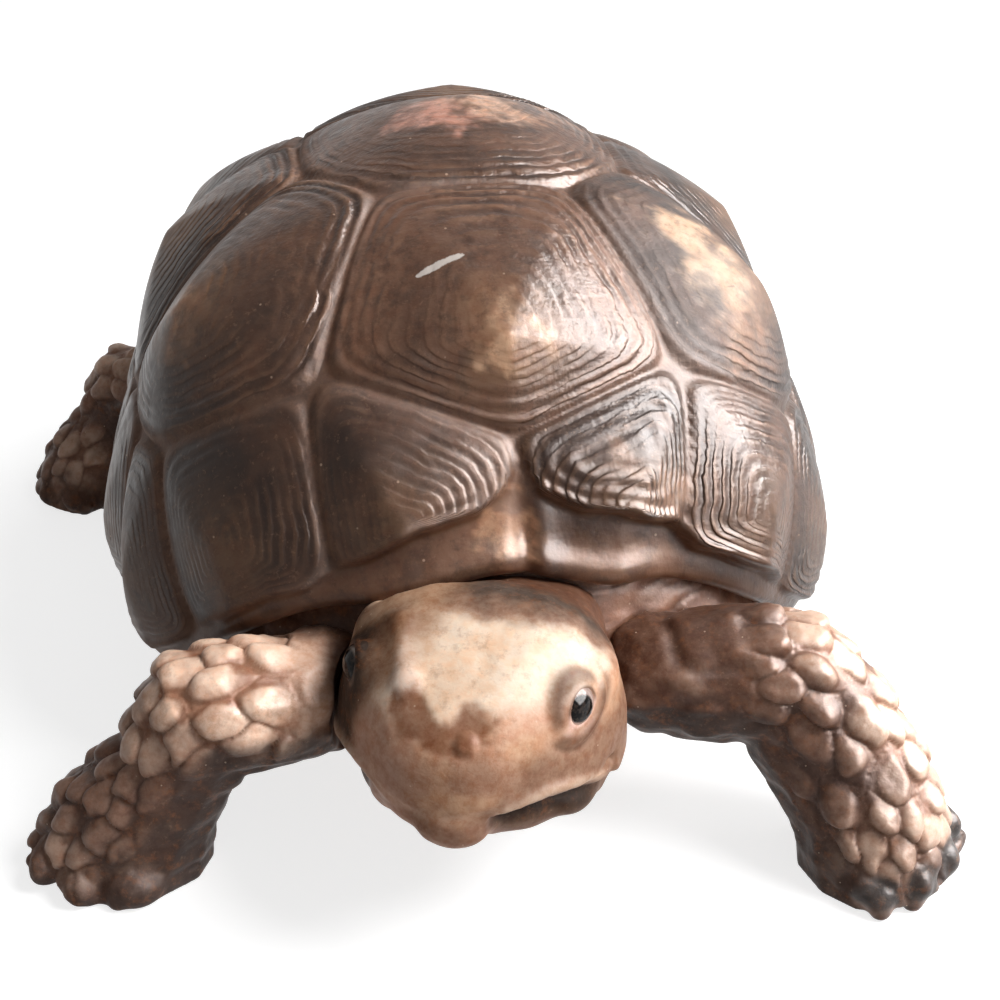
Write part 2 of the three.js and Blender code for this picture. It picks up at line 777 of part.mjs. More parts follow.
// The eye's axis: from inside the head out through the lid
function eyeAxis(side) {
  const half = headHalfWidth(EYE_FORWARD, EYE_HEIGHT);
  const at = headPoint(side * half, EYE_FORWARD, EYE_HEIGHT);
  const [across, forward, up] = EYE_WAY;
  const ahead = headPoint(side * (half + across), EYE_FORWARD + forward, EYE_HEIGHT + up);
  return { at, out: ahead.sub(at).normalize() };
}

// An eye bead and stem, turned to its axis and grown for its socket
function eyeSolid(side, grow) {
  const stem = EYE_STEM + grow;
  const bead = EYE_RADIUS + grow;
  const back = -EYE_RADIUS * EYE_FLATNESS - grow;
  const profile = [[0, -EYE_DEPTH - grow], [stem, -EYE_DEPTH - grow], [stem, back]];
  for (let k = 0; k <= EYE_STEPS; k += 1) {
    const turn = radians(mix(EYE_BACK_TURN, 90, k / EYE_STEPS));
    const radius = k === EYE_STEPS ? 0 : bead * Math.cos(turn);
    profile.push([radius, bead * (Math.sin(turn) * EYE_FLATNESS + EYE_STAND)]);
  }
  const geometry = new THREE.LatheGeometry(profile.map(([r, h]) => new THREE.Vector2(r, h)), BAR_SIDES);
  const { at, out } = eyeAxis(side);
  geometry.applyQuaternion(new THREE.Quaternion().setFromUnitVectors(new THREE.Vector3(0, 1, 0), out));
  geometry.translate(at.x, at.y, at.z);
  return solid(geometry);
}

// A low mound round the eye
function eyelid(side) {
  const geometry = new THREE.SphereGeometry(1, 14, 6);
  geometry.scale(LID_RADIUS, LID_RISE, LID_RADIUS);
  const { at, out } = eyeAxis(side);
  geometry.applyQuaternion(new THREE.Quaternion().setFromUnitVectors(new THREE.Vector3(0, 1, 0), out));
  geometry.translate(at.x, at.y, at.z);
  return solid(geometry);
}

const HEAD_CUT = headSkin(-JOINT_GAP);

function makeHead() {
  const [inner, outer] = plugLine(0, 0.35, 4);
  const beakSize = new THREE.Vector3(...BEAK_SHAPE).multiplyScalar(BEAK_RADIUS);
  const beak = ball(headPoint(BEAK_LEFT, BEAK_FORWARD, BEAK_HEIGHT), beakSize);
  let head = headSkin(0).subtract(jawTrim()).add(beak);
  [-1, 1].forEach((side) => {
    head = head.add(eyelid(side)).subtract(eyeSolid(side, JOINT_GAP)).subtract(nostril(side));
  });
  head = seated(head, bar(inner, outer, NECK_PLUG_RADIUS));
  const hole = bar(inner.clone().lerp(outer, -0.2), outer, NECK_PLUG_RADIUS + JOINT_GAP);
  return { head, hole };
}

// Tail stations: shares of its length back and up, and of its radius across and up
const TAIL_STATIONS = [
  [-0.5, 0.08, 1, 0.88],
  [0.17, 0, 0.92, 0.8],
  [0.67, -0.25, 0.64, 0.56],
  [1, -0.67, 0.24, 0.22],
];

// Tail: a short cone curving down behind the shell
function makeTail() {
  const root = trayWall(Math.PI, 0.3, 0);
  const body = limb(TAIL_STATIONS.map(([back, up, wide, tall]) => [
    root.x,
    root.y + back * TAIL_LENGTH,
    root.z + up * TAIL_LENGTH,
    wide * TAIL_RADIUS,
    tall * TAIL_RADIUS,
  ]));
  const [inner, outer] = plugLine(180, 0.3, 3);
  const tail = seated(body, bar(inner, outer, TAIL_PLUG_RADIUS));
  const hole = bar(inner.clone().lerp(outer, -0.2), outer, TAIL_PLUG_RADIUS + JOINT_GAP);
  return { tail, hole };
}

const group = new THREE.Group();

function put(name, body, colour, roughness) {
  const material = new THREE.MeshStandardMaterial({ color: colour, roughness, metalness: 0 });
  const geometry = surface(body);
  geometry.computeVertexNormals();
  const mesh = new THREE.Mesh(geometry, material);
  mesh.name = name;
  group.add(mesh);
}

const { head, hole: neckHole } = makeHead();
const { tail, hole: tailHole } = makeTail();
let tray = makeTray().subtract(neckHole).subtract(tailHole);
Object.entries(LEGS).forEach(([name, plan]) => {
  const { leg, hole } = makeLeg(plan);
  tray = tray.subtract(hole);
  put(name, leg, LIMB_COLOUR, 0.45);
});
put("carapace", makeCarapace(), SHELL_COLOUR, 0.42);
put("underbody", tray, SKIN_COLOUR, 0.5);
put("head", head, HEAD_COLOUR, 0.45);
put("tail", tail, LIMB_COLOUR, 0.48);
put("right_eye", eyeSolid(-1, 0), EYE_COLOUR, 0.12);
put("left_eye", eyeSolid(1, 0), EYE_COLOUR, 0.12);

// The origin is the middle of the floor under the whole figure
const whole = new THREE.Box3().setFromObject(group);
const middle = whole.getCenter(new THREE.Vector3());
group.children.forEach((mesh) => mesh.geometry.translate(-middle.x, -middle.y, -whole.min.z));

export default group;
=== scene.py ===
import math
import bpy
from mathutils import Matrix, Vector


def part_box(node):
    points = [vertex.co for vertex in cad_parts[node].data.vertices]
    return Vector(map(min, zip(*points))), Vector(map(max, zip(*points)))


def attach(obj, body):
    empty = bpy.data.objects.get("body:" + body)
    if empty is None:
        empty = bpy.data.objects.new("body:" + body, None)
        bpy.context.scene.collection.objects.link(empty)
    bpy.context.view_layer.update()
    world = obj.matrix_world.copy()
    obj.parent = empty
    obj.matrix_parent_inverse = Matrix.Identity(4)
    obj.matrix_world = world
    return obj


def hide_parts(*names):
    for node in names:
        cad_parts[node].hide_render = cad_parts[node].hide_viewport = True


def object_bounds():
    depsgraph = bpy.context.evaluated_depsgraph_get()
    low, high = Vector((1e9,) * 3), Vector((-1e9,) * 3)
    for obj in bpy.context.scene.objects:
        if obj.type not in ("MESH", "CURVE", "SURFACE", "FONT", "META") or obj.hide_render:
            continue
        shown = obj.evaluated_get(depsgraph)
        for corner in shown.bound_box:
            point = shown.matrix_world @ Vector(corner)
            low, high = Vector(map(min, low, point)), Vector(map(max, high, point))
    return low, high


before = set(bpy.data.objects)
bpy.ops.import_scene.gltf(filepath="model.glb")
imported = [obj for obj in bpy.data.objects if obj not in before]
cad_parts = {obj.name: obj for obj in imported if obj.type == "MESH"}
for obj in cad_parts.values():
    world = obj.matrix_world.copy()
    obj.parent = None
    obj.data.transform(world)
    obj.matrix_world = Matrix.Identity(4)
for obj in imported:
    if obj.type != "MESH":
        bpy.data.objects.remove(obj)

from types import SimpleNamespace

import bmesh
import bpy
import numpy as np
from mathutils import Euler, Matrix, Vector

CAD_BOX = [list(corner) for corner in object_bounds()]

# Shapes are worked out in millimetres in the shell's own frame: +X is the figure's left, -Y its front, +Z up
MM = 0.001
CARAPACE_LOW = np.array([-45.628, -47.983, 10.035])
SHIFT = np.array(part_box("carapace")[0]) / MM - CARAPACE_LOW
SHIFT[2] = 0
BOX_LOW, BOX_HIGH = (np.array(corner) / MM - SHIFT for corner in CAD_BOX)

# Shell: outline, rim and wall
SHELL_FRONT = 46.6
SHELL_REAR = 54.6
SHELL_HALF_WIDTH = 42.3
SHELL_TOP = 65.7
SHELL_EQUATOR = 22
SHELL_RISE = SHELL_TOP - SHELL_EQUATOR
PLAN_POWER = 2.6
DROP_SHARE = 0.6
SHELL_WALL = 3
RIM_BEAD = 0.35 * SHELL_WALL
RIM_STOPS = np.radians([0, 18, 61, 95, 140, 180])
RIM_HEIGHTS = [34, 31.2, 14.2, 12, 22, 19]

# Scutes: vertebrals by their share of the half-length, costals by shares across and along and a lean inward
MIDLINE_SHIFT = 1.8
VERTEBRALS = (-0.67, 0.14, 0.46, 0.7, 0.91)
VERTEBRAL_LEAN = -2.5
VERTEBRAL_PEAK = 3.1
FRONT_VERTEBRAL_PEAK = 3.8
COSTALS = ((0.7, -0.36, 0), (0.8, 0.11, 4.5), (0.75, 0.49, 4.5), (0.5, 0.77, 2))
COSTAL_PEAK = 3.6
MARGINAL_ANGLES = [10.5, 38, 56, 75, 95, 115, 135, 155]
MARGINAL_PEAK = 2.6
MARGINAL_RISE = 10
FRONT_MARGINAL_RISE = 7
FRONT_MARGINAL_LEAN = 4
FIRST_COSTAL = len(VERTEBRALS)
FIRST_MARGINAL = FIRST_COSTAL + 2 * len(COSTALS)
TIGHT_CORNERS = 2.2
ROUND_CORNERS = 0.85
FACET_POWER = 16
RING_POWER = 8

# Ledge over the neck, where the plates of the front marginals end, with a notch at its middle
LEDGE_X = [-36, -30, -24, -20, -16.5, -8.6, -2.4, 0.5, 2.6, 4.2, 8.5, 12.1, 18.5, 21.5, 25, 30, 36]
LEDGE_Z = [18, 26, 30.5, 32, 34.6, 38.4, 39.6, 41.6, 45, 41.4, 39.3, 38.7, 36.4, 33, 31, 27, 18]
LEDGE_LEAST = 1.2
LEDGE_ENDS = np.radians([62, 36])
LEDGE_DEPTH = 0.95
LEDGE_LEFT_DEPTH = 0.6
LEDGE_LIP = 0.3
PLATE_FOOT = 2.5
PLATE_EDGE = 0.4
NOTCH_AT = 2.6
NOTCH_WIDTH = 1.3
NOTCH_DEPTH = 1.0

# Carving of the shell
FACE_RISE = 0.4
SEAM_DEPTH = 0.45
RIDGE_START = 0.8
RIDGE_STEP = 1.4
RIDGE_RISE = 0.18
RING_STEP = 1.25
RIM_ROLL = 0.75
RIM_ROLL_WIDTH = 1.6
SHELL_COLUMNS = 516
SHELL_ROWS = 172
RIM_ROWS = 5
INNER_ROWS = 10
JOIN_DISTANCE = 2e-6
OUTLINE_STEPS = 8001

# Marks on the shell: a white scratch, a hairline crack and the middle of the worn flank
SCRATCH = ((-7.1, -27.6, 60.0), (-1.6, -26.1, 61.8))
SCRATCH_HALF_WIDTH = 0.55
CRACK = ((29.3, -21.7, 54.7), (7.2, -35.7, 54.2), (2.9, -38.2, 48.4), (1, -40.8, 44))
CRACK_OVERLAP = 0.3
NO_CRACK = 9.0
WORN_AT = (28, -20, 56)

# Scales: shares of the way along a limb at which their lengths and cover are given, and their form
SCALE_STOPS = [0, 0.45, 0.72, 1]
COVER_STOPS = [0.25, 0.45, 0.7, 1]
SCALE_STRETCH = 0.72
SCALE_POWER = 1.5
SCALE_SHARPNESS = 7
SCALE_TALLEST = 1.1
SCALE_WAVER = 1.3
RANK_CELL = 0.9
LIMB_RIDGE_HEIGHT = 0.5
POINTS_AT_ONCE = 4000

# Tail
TAIL_WAY = np.array([0, 18, -9]) / math.hypot(18, 9)
TAIL_SPACING = 2.4
TAIL_SCALE_RADIUS = 1.5
TAIL_STRETCH = 0.8
TAIL_SEED = 3

# Head
HEAD_AT = np.array([-3.2, -52.0])
HEAD_TURN = math.radians(22)
HEAD_ROLL = math.radians(2)
HEAD_MID = 26
RELAX_SHARE = 0.6

# Lumps of the head: cheekbones, beak, lip, nose and left jaw, as place in its own frame and half-sizes
HEAD_LUMPS = (
    ((11.6, 0.2, 28.4), (2.7, 4.6, 3.8)),
    ((-11.2, 0.2, 28.4), (2.4, 4.6, 3.8)),
    ((1.2, 13.9, 19.6), (4.2, 3.5, 3.4)),
    ((-1.5, 13.4, 22.0), (5.5, 3.3, 2.6)),
    ((-0.4, 10.2, 28.2), (6.3, 4.2, 3.8)),
    ((10.8, 3.4, 18.4), (3.8, 6.0, 4.0)),
)

# Mouth line, from the corner forward to the beak
MOUTH_FORWARD = [-4.0, 1.0, 2.3, 6.1, 9.7, 11.7, 13.4, 14.2, 15.6, 17.0]
MOUTH_HEIGHT = [17.0, 18.0, 18.7, 20.2, 21.8, 22.2, 22.0, 21.6, 21.1, 20.7]

# Face, in the head's own frame: evened nose, nostril blotches, raised knob, edges with painted highlights and
# temple spot
NOSE_AT = (-0.4, 13.1, 30.4)
NOSE_REACH = 7.5
NOSTRILS = (((-3.5, 13.1, 30.6), 3.4), ((2.5, 12.9, 30.2), 3.2), ((-0.6, 13.8, 28.9), 2.6))
KNOB_AT = (2.4, 14.7, 29.2)
NOSE_EDGE_AT = (-4.6, 10.8, 31.9)
BROW_EDGE = ((-7.6, 3.0, 34.0), (-4.8, 11.0, 32.0))
TEMPLE_SPOT = (-11, -1.5, 32)

# Eyes: middle of the opening and the way it looks, in the head's own frame, for the left side
EYE_AT = np.array([11.8, 6.6, 29.7])
EYE_OUT = np.array([0.904, 0.4, 0.15])
EYE_RADIUS = 2.5
EYE_SUNK = 1.7
EYE_TILT = math.radians(20)
EYE_GAZE = (0.22, 0.20, 0.955)
EYE_SEAT = (3.8, 3.1, 3.1)
EYE_SEAT_DEPTH = 3.7
EYE_OPENING = (1.7, 1.45)
EYE_OPENING_DEPTH = 1.5
RIGHT_EYE_OPENING = (2.3, 1.7)
RIGHT_FOLDS_SHARE = 0.12
PUPIL_RADIUS = 1.5

# Lamps: name, way to it, distance, width and height in metres, watts, and whether it shows in gloss only
LAMPS = (
    ("key_right", (0.60, -0.25, 0.75), 0.6, 0.30, 0.30, 4.0, False),
    ("fill_front", (0.1, -0.9, 0.62), 1.0, 1.2, 1.2, 0.8, False),
    ("window_in_gloss", (0.74, -0.20, 0.56), 0.7, 0.95, 0.62, 95.0, True),
)
LAMP_AIM = np.array([0, -15, 35])
FLOOR_HALF_SIZE = 3
FLOOR_GLOW = 0.76
SURROUND_LIGHT = 0.1

# Camera of the photograph
CAMERA_AT = np.array([-17.587, -178.878, 123.466])
CAMERA_AHEAD = np.array([0.1276, 0.9918])
CAMERA_DROP = math.radians(30.926)
CAMERA_LENS = 55.8
CAMERA_SENSOR = 36


def linear(red, green, blue):
    """A colour of the screen, 0 to 255, on the shader's linear scale."""
    share = np.array([red, green, blue]) / 255
    return np.where(share <= 0.04045, share / 12.92, ((share + 0.055) / 1.055) ** 2.4)


# Paints that several pieces share
CREAM = linear(250, 218, 195)
BEIGE = linear(222, 184, 160)
SKIN_BROWN = linear(108, 76, 59)
DEEP_BROWN = linear(62, 43, 34)
GROOVE_BROWN = linear(70, 48, 38)
NAIL_GREY = linear(80, 73, 70)
WHITE = (1, 1, 1, 1)

# Pale patches of the shell, partly rubbed paint and partly painted light: place, reach, colour and share
WORN_AND_LIT_SPOTS = (
    ((-2.0, 1.0, 69), 7.0, linear(224, 168, 148), 0.85),
    ((4.5, 4.0, 69), 6.5, linear(236, 194, 168), 0.9),
    ((10.5, 5.5, 67.0), 6.0, linear(202, 158, 130), 0.7),
    ((27.5, -21.0, 55.9), 7.5, linear(230, 194, 164), 0.9),
    ((24.5, -15.5, 59.3), 6.5, linear(226, 188, 156), 0.9),
    ((30.5, -24.5, 51.5), 7.0, linear(176, 134, 106), 0.5),
    ((2.6, -34.5, 56), 5.0, linear(210, 170, 138), 0.75),
    ((-31.5, -18, 54), 6.5, linear(186, 142, 110), 0.75),
    ((16.5, -43, 41), 5.5, linear(184, 148, 126), 0.6),
    ((0.5, -44, 39.5), 3.6, linear(190, 146, 114), 0.7),
)

# Limbs. Stations run along the middle, x and y from the root. Toes and nails are place, half-sizes and turn.
# Lengths of the scales and bounds of their cover go from the root to the foot, bare is where they begin, pale
# spots, where light is painted on the bend, are place, reach and share, ridges are start, end and width, and
# seed spreads the scales.
HIND_LEG = {
    "nails": (),
    "lengths": (3.8, 3.0, 2.8, 2.4),
    "cover": (-0.3, -0.3, -0.3, -0.2),
    "bare": 0.3,
    "ridges": (),
}
LIMBS = {
    "right_front_leg": SimpleNamespace(
        root=(-19.15, -37.65),
        stations=((6, 6, 20), (-1, -7.7, 20), (-6.6, -9.2, 20.5), (-12.8, -9.2, 20),
                  (-16.4, -9, 13), (-21.4, -9, 6.5), (-24.2, -9.1, -0.5)),
        toes=(
            ((-41.2, -51.2, 2.0), (3.9, 4.2, 3.2), (0, 0, 14)),
            ((-46.9, -51.2, 1.9), (2.1, 3.3, 2.5), (0, 0, 0)),
            ((-50.3, -48.6, 2.8), (2.0, 3.0, 2.8), (0, 0, -30)),
        ),
        nails=(),
        lengths=(3.9, 3.2, 2.9, 2.5),
        outside=(-0.5, -0.3, 0.8),
        cover=(0.0, 0.0, 0.55, 0.3),
        bare=0.2,
        pale=(
            ((-31, -49, 28), 12, 1.0),
            ((-24, -51, 27), 11, 1.0),
            ((-37, -49, 20), 6, 0.4),
            ((-47, -50, 6), 6, 0.2),
        ),
        ridges=(),
        seed=20,
    ),
    "left_front_leg": SimpleNamespace(
        root=(17.75, -38.15),
        stations=((-6, 6, 20), (-0.6, -7.2, 19.5), (6.4, -9.7, 20.4), (12.6, -11.2, 20),
                  (17.4, -14.5, 13.5), (20.9, -18.2, 7), (22.4, -19.7, -0.5)),
        toes=(
            ((36.8, -62.4, 2.8), (2.6, 3.2, 2.7), (0, 0, 5)),
            ((41.3, -61.8, 3.0), (2.4, 3.2, 2.9), (0, 0, 22)),
            ((44.9, -59.6, 3.2), (2.3, 3.0, 3.0), (0, 0, 42)),
            ((46.6, -56.4, 3.6), (2.2, 2.8, 3.2), (0, 0, 66)),
        ),
        nails=(
            ((38.0, -64.2, 2.3), (2.5, 2.2, 2.0), (20, 0, 8)),
            ((42.1, -63.6, 2.9), (1.7, 2.4, 2.5), (20, 0, 22)),
            ((45.8, -61.2, 3.5), (1.7, 2.3, 2.4), (20, 0, 42)),
            ((47.7, -57.4, 4.4), (1.4, 1.9, 1.9), (20, 0, 66)),
        ),
        lengths=(3.8, 3.2, 2.9, 2.5),
        outside=(0.6, -0.6, 0.5),
        cover=(0.35, 0.1, -0.15, -0.1),
        bare=0.34,
        pale=(
            ((36, -51, 27), 9, 1.0),
            ((42, -55, 19), 10, 1.0),
            ((45, -58, 11), 9, 0.75),
            ((39, -62, 9), 8, 0.3),
        ),
        ridges=(
            ((23.5, -52.2, 26.4), (28.8, -52.9, 27.2), 1.1),
            ((27.4, -54.6, 24.9), (33, -54.9, 25.1), 1.1),
            ((24.3, -54.4, 23.2), (29.7, -56.1, 22.6), 1.1),
        ),
        seed=19,
    ),
    "right_rear_leg": SimpleNamespace(
        root=(-34, 26.6),
        stations=((6, -4, 14), (-2, 3.4, 15.5), (-12, 11.4, 18), (-16.5, 11.4, 11),
                  (-21, 10, 5.5), (-22.5, 9.4, -0.5)),
        toes=(
            ((-58.6, 33.2, 2.4), (2.3, 3.2, 2.6), (0, 0, -50)),
            ((-55.6, 31.4, 2.4), (2.2, 3.2, 2.6), (0, 0, -15)),
            ((-51.4, 32.0, 2.3), (2.2, 3.0, 2.5), (0, 0, 10)),
        ),
        outside=(-0.6, -0.5, 0.5),
        pale=(((-46, 38, 22), 9, 0.7), ((-54, 33, 8), 7, 0.4)),
        seed=19,
        **HIND_LEG,
    ),
    "left_rear_leg": SimpleNamespace(
        root=(34, 26.6),
        stations=((-6, -4, 14), (2, 4, 15.5), (10.5, 12, 18), (13.5, 13, 11),
                  (16.5, 12.6, 5.5), (17.5, 12, -0.5)),
        toes=(
            ((55.2, 35.4, 2.4), (2.3, 3.0, 2.6), (0, 0, 50)),
            ((52.2, 33.2, 2.4), (2.2, 3.2, 2.6), (0, 0, 15)),
            ((48.2, 33.6, 2.3), (2.2, 3.0, 2.5), (0, 0, -10)),
        ),
        outside=(0.6, -0.4, 0.5),
        pale=(((45, 38, 22), 9, 0.7), ((53, 36, 8), 7, 0.4)),
        seed=18,
        **HIND_LEG,
    ),
}


# Shares, washes and noise
def ease(low, high, value):
    """From 0 at low to 1 at high, with soft ends."""
    t = np.clip((value - low) / (high - low), 0, 1)
    return t * t * (3 - 2 * t)


def bell(value, middle, width):
    """1 at the middle, falling off softly on both sides."""
    return np.exp(-((value - middle) / width) ** 2)


def toned(one, other, share):
    """One colour turned into another by a share for each point."""
    share = np.clip(np.asarray(share), 0, 1)[..., None]
    return one * (1 - share) + other * share


def washed(colours, *washes):
    """Washes of paint laid one over the other, each a colour and its share for each point."""
    for colour, share in washes:
        colours = toned(colours, colour, share)
    return colours


def lattice(cell, seed):
    """A fixed value from 0 to 1 for each cell of a grid."""
    mixed = cell[..., 0] * 374761393 + cell[..., 1] * 668265263 + cell[..., 2] * 144066268 + seed * 97463477
    mixed = ((mixed ^ (mixed >> 13)) & 0x7FFFFFFF) * 127412617
    mixed = (mixed ^ (mixed >> 16)) & 0xFFFFFF
    return mixed / 0xFFFFFF


def chance(numbers, steps, seed):
    """A fixed value from 0 to 1 for each numbered scale or scute."""
    return lattice(np.stack([numbers * step for step in steps], -1).astype(np.int64), seed)


def cloud(points, size, seed):
    """Smooth noise from 0 to 1 with lumps of one size, in millimetres."""
    place = points / size
    cell = np.floor(place).astype(np.int64)
    t = place - cell
    t = t * t * (3 - 2 * t)
    total = np.zeros(len(points))
    for corner in np.ndindex(2, 2, 2):
        weight = np.prod(np.where(np.array(corner) == 1, t, 1 - t), axis=1)
        total += weight * lattice(cell + np.array(corner), seed)
    return total


def clouds(points, size, seed):
    """Smooth noise from 0 to 1 with lumps of three sizes."""
    broad = cloud(points, size, seed) * 2
    return (broad + cloud(points, size / 2.1, seed + 1) + cloud(points, size / 4.3, seed + 2) * 0.5) / 3.5


def soft_least(values, sharpness):
    """The least of each row, rounded where two are close."""
    return -np.log(np.exp(-sharpness * values).sum(1)) / sharpness


def soft_most(shares, power):
    """The most of each row of shares, rounded where two are close, and 1 at the highest."""
    return np.minimum((shares ** power).sum(1) ** (1 / power), 1)


def segment_way(points, start, end):
    """Distances along and across a line, and its length."""
    start = np.array(start, float)
    way = np.array(end, float) - start
    length = np.linalg.norm(way)
    along = (points - start) @ (way / length)
    aside = np.linalg.norm(points - start - along[:, None] * (way / length), axis=1)
    return along, aside, length


def stroke(points, start, end, width, before, within):
    """1 along a line, soft across it and fading at its ends from before them to within them."""
    along, aside, length = segment_way(points, start, end)
    ends = ease(-before, within, along) * ease(length + before, length - within, along)
    return bell(aside, 0, width) * ends


# Shell outline
def half_length(y):
    """The shell's half-length, before or behind its middle."""
    return np.where(np.asarray(y) < 0, SHELL_FRONT, SHELL_REAR)


def plan_radius(angle, inset):
    """How far the outline lies from the middle, seen from the top."""
    across = np.abs(np.sin(angle)) / (SHELL_HALF_WIDTH - inset)
    along = np.abs(np.cos(angle)) / (half_length(-np.cos(angle)) - inset)
    return (across ** PLAN_POWER + along ** PLAN_POWER) ** (-1 / PLAN_POWER)


def dome_point(angle, slope, inset):
    """A point of the dome: angle round from the front, slope down from the crown."""
    rise = SHELL_RISE * np.where(slope < math.pi / 2, 1, DROP_SHARE) - inset
    radius = plan_radius(angle, inset) * np.sin(slope)
    height = SHELL_EQUATOR + np.cos(slope) * rise
    return np.stack([radius * np.sin(angle), -radius * np.cos(angle), height], -1)


def dome_lengths(points):
    """The dome's half-sizes at each point."""
    rise = SHELL_RISE * np.where(points[:, 2] >= SHELL_EQUATOR, 1, DROP_SHARE)
    return np.stack([np.full(len(points), SHELL_HALF_WIDTH), half_length(points[:, 1]), rise], -1)


def dome_normal(points):
    """The way straight out of the dome."""
    lengths = dome_lengths(points)
    share = np.maximum(np.abs(points[:, :2]) / lengths[:, :2], 1e-9)
    plan = np.sum(share ** PLAN_POWER, axis=1) ** (2 / PLAN_POWER - 1)
    flat = np.sign(points[:, :2]) * plan[:, None] * share ** (PLAN_POWER - 1) / lengths[:, :2]
    up = (points[:, 2] - SHELL_EQUATOR) / lengths[:, 2] ** 2
    normal = np.column_stack([flat, up])
    return normal / np.linalg.norm(normal, axis=1)[:, None]


def onto_dome(points):
    """Points moved onto the dome along the way from its middle."""
    lengths = dome_lengths(points)
    plan = np.sum((np.abs(points[:, :2]) / lengths[:, :2]) ** PLAN_POWER, axis=1) ** (2 / PLAN_POWER)
    share = (points[:, 2] - SHELL_EQUATOR) / lengths[:, 2]
    scale = 1 / np.sqrt(plan + share ** 2)
    middle = np.array([0, 0, SHELL_EQUATOR])
    return middle + (points - middle) * scale[:, None]


def dome_over(x, y):
    """The point of the dome over a place of the plan."""
    plan = abs(x / SHELL_HALF_WIDTH) ** PLAN_POWER + abs(y / half_length(y)) ** PLAN_POWER
    return [x, y, SHELL_EQUATOR + SHELL_RISE * math.sqrt(1 - plan ** (2 / PLAN_POWER))]


def angle_round(points):
    """The angle of each point round from the front."""
    return np.arctan2(points[:, 0], -points[:, 1])


def rim_height(angle):
    """Height of the rim, which rises over the head and the limbs."""
    turn = np.abs(np.arctan2(np.sin(angle), np.cos(angle)))
    k = np.clip(np.searchsorted(RIM_STOPS, turn, side="right") - 1, 0, len(RIM_STOPS) - 2)
    t = (turn - RIM_STOPS[k]) / (RIM_STOPS[k + 1] - RIM_STOPS[k])
    heights = np.array(RIM_HEIGHTS, float)
    return heights[k] + (heights[k + 1] - heights[k]) * (1 - np.cos(math.pi * t)) / 2


def rim_slope(angle):
    """How far down from the crown the rim lies."""
    height = rim_height(angle) - SHELL_EQUATOR
    return np.arccos(height / (SHELL_RISE * np.where(height >= 0, 1, DROP_SHARE)))


# Scutes
def make_scutes():
    """Seeds, places of the peaks and their heights: vertebrals, costals, marginals and the tail scute."""
    seeds = []
    leans = []
    peaks = []
    for share in VERTEBRALS:
        seeds.append(dome_over(MIDLINE_SHIFT, share * half_length(share)))
        leans.append([0, VERTEBRAL_LEAN, 0])
        peaks.append(VERTEBRAL_PEAK)
    peaks[0] = FRONT_VERTEBRAL_PEAK
    for across, along, inward in COSTALS:
        for side in (-1, 1):
            seeds.append(dome_over(side * across * SHELL_HALF_WIDTH, along * half_length(along)))
            leans.append([-side * inward, 0, 0])
            peaks.append(COSTAL_PEAK)
    rims = [(side * math.radians(angle), side) for angle in MARGINAL_ANGLES for side in (-1, 1)]
    for n, (angle, side) in enumerate(rims + [(math.pi, 1)]):
        front = n < 2
        height = float(rim_height(np.array(angle))) + (FRONT_MARGINAL_RISE if front else MARGINAL_RISE)
        rise = SHELL_RISE * (1 if height >= SHELL_EQUATOR else DROP_SHARE)
        slope = math.acos((height - SHELL_EQUATOR) / rise)
        seed = dome_point(np.array(angle), np.array(slope), 0)
        seeds.append(list(seed + np.array([MIDLINE_SHIFT if front else 0, 0, 0])))
        leans.append([side * FRONT_MARGINAL_LEAN if front else 0, 0, 0])
        peaks.append(MARGINAL_PEAK)
    seeds = np.array(seeds, float)
    return seeds, onto_dome(seeds + np.array(leans, float)), np.array(peaks)


SEEDS, TIPS, PEAKS = make_scutes()


def ledge_height(points):
    """How far over the rim the plates of the front marginals end, highest at the notch over the neck."""
    over = np.interp(points[:, 0], LEDGE_X, LEDGE_Z) - rim_height(angle_round(points))
    return np.maximum(over, LEDGE_LEAST)


def front_share(points):
    """1 along the front rim, 0 past the shoulders."""
    return ease(*LEDGE_ENDS, np.abs(angle_round(points)))


def plate_room(points):
    """Height over the lower end of the plates."""
    over_rim = points[:, 2] - rim_height(angle_round(points))
    return over_rim - PLATE_FOOT + (PLATE_FOOT - ledge_height(points)) * front_share(points)


def scute_field(points):
    """For each point of the dome: home is its scute, facet the gauge of its pyramid, border and seam the
    distances to the scute's edge with tight and with round corners, grown the way in along the growth rings,
    and facing how far its facet looks to the figure's left."""
    field = SimpleNamespace(points=points)
    field.home = np.argmin(((points[:, None, :] - SEEDS[None]) ** 2).sum(2), axis=1)
    for name in ("facet", "border", "seam", "grown", "facing"):
        setattr(field, name, np.zeros(len(points)))
    room = plate_room(points)
    tip_room = plate_room(TIPS)
    for k in range(len(SEEDS)):
        mine = field.home == k
        others = np.arange(len(SEEDS)) != k
        across = SEEDS[others] - SEEDS[k]
        span = np.linalg.norm(across, axis=1)
        middle = (SEEDS[others] + SEEDS[k]) / 2
        reach = ((middle - TIPS[k]) * across).sum(1)
        gauge = np.clip((points[mine] - TIPS[k]) @ across.T / reach, 0, 1)
        away = ((middle * across).sum(1) - points[mine] @ across.T) / span
        field.facet[mine] = soft_most(gauge, FACET_POWER)
        field.border[mine] = soft_least(away, TIGHT_CORNERS)
        weight = gauge ** RING_POWER + 1e-9
        field.facing[mine] = weight @ (across[:, 0] / span) / weight.sum(1)
        if k >= FIRST_MARGINAL:
            gauge = np.column_stack([gauge, np.clip(1 - room[mine] / tip_room[k], 0, 1)])
            away = np.column_stack([away, room[mine] + PLATE_EDGE])
        field.seam[mine] = soft_least(away, ROUND_CORNERS)
        size = np.sort(reach / span)[:5].mean()
        field.grown[mine] = (1 - soft_most(gauge, RING_POWER)) * size
    return field


# Meshes
def finished_mesh(name, shape):
    """A mesh from a worked shape, which is let go."""
    mesh = bpy.data.meshes.new(name)
    shape.to_mesh(mesh)
    shape.free()
    return mesh


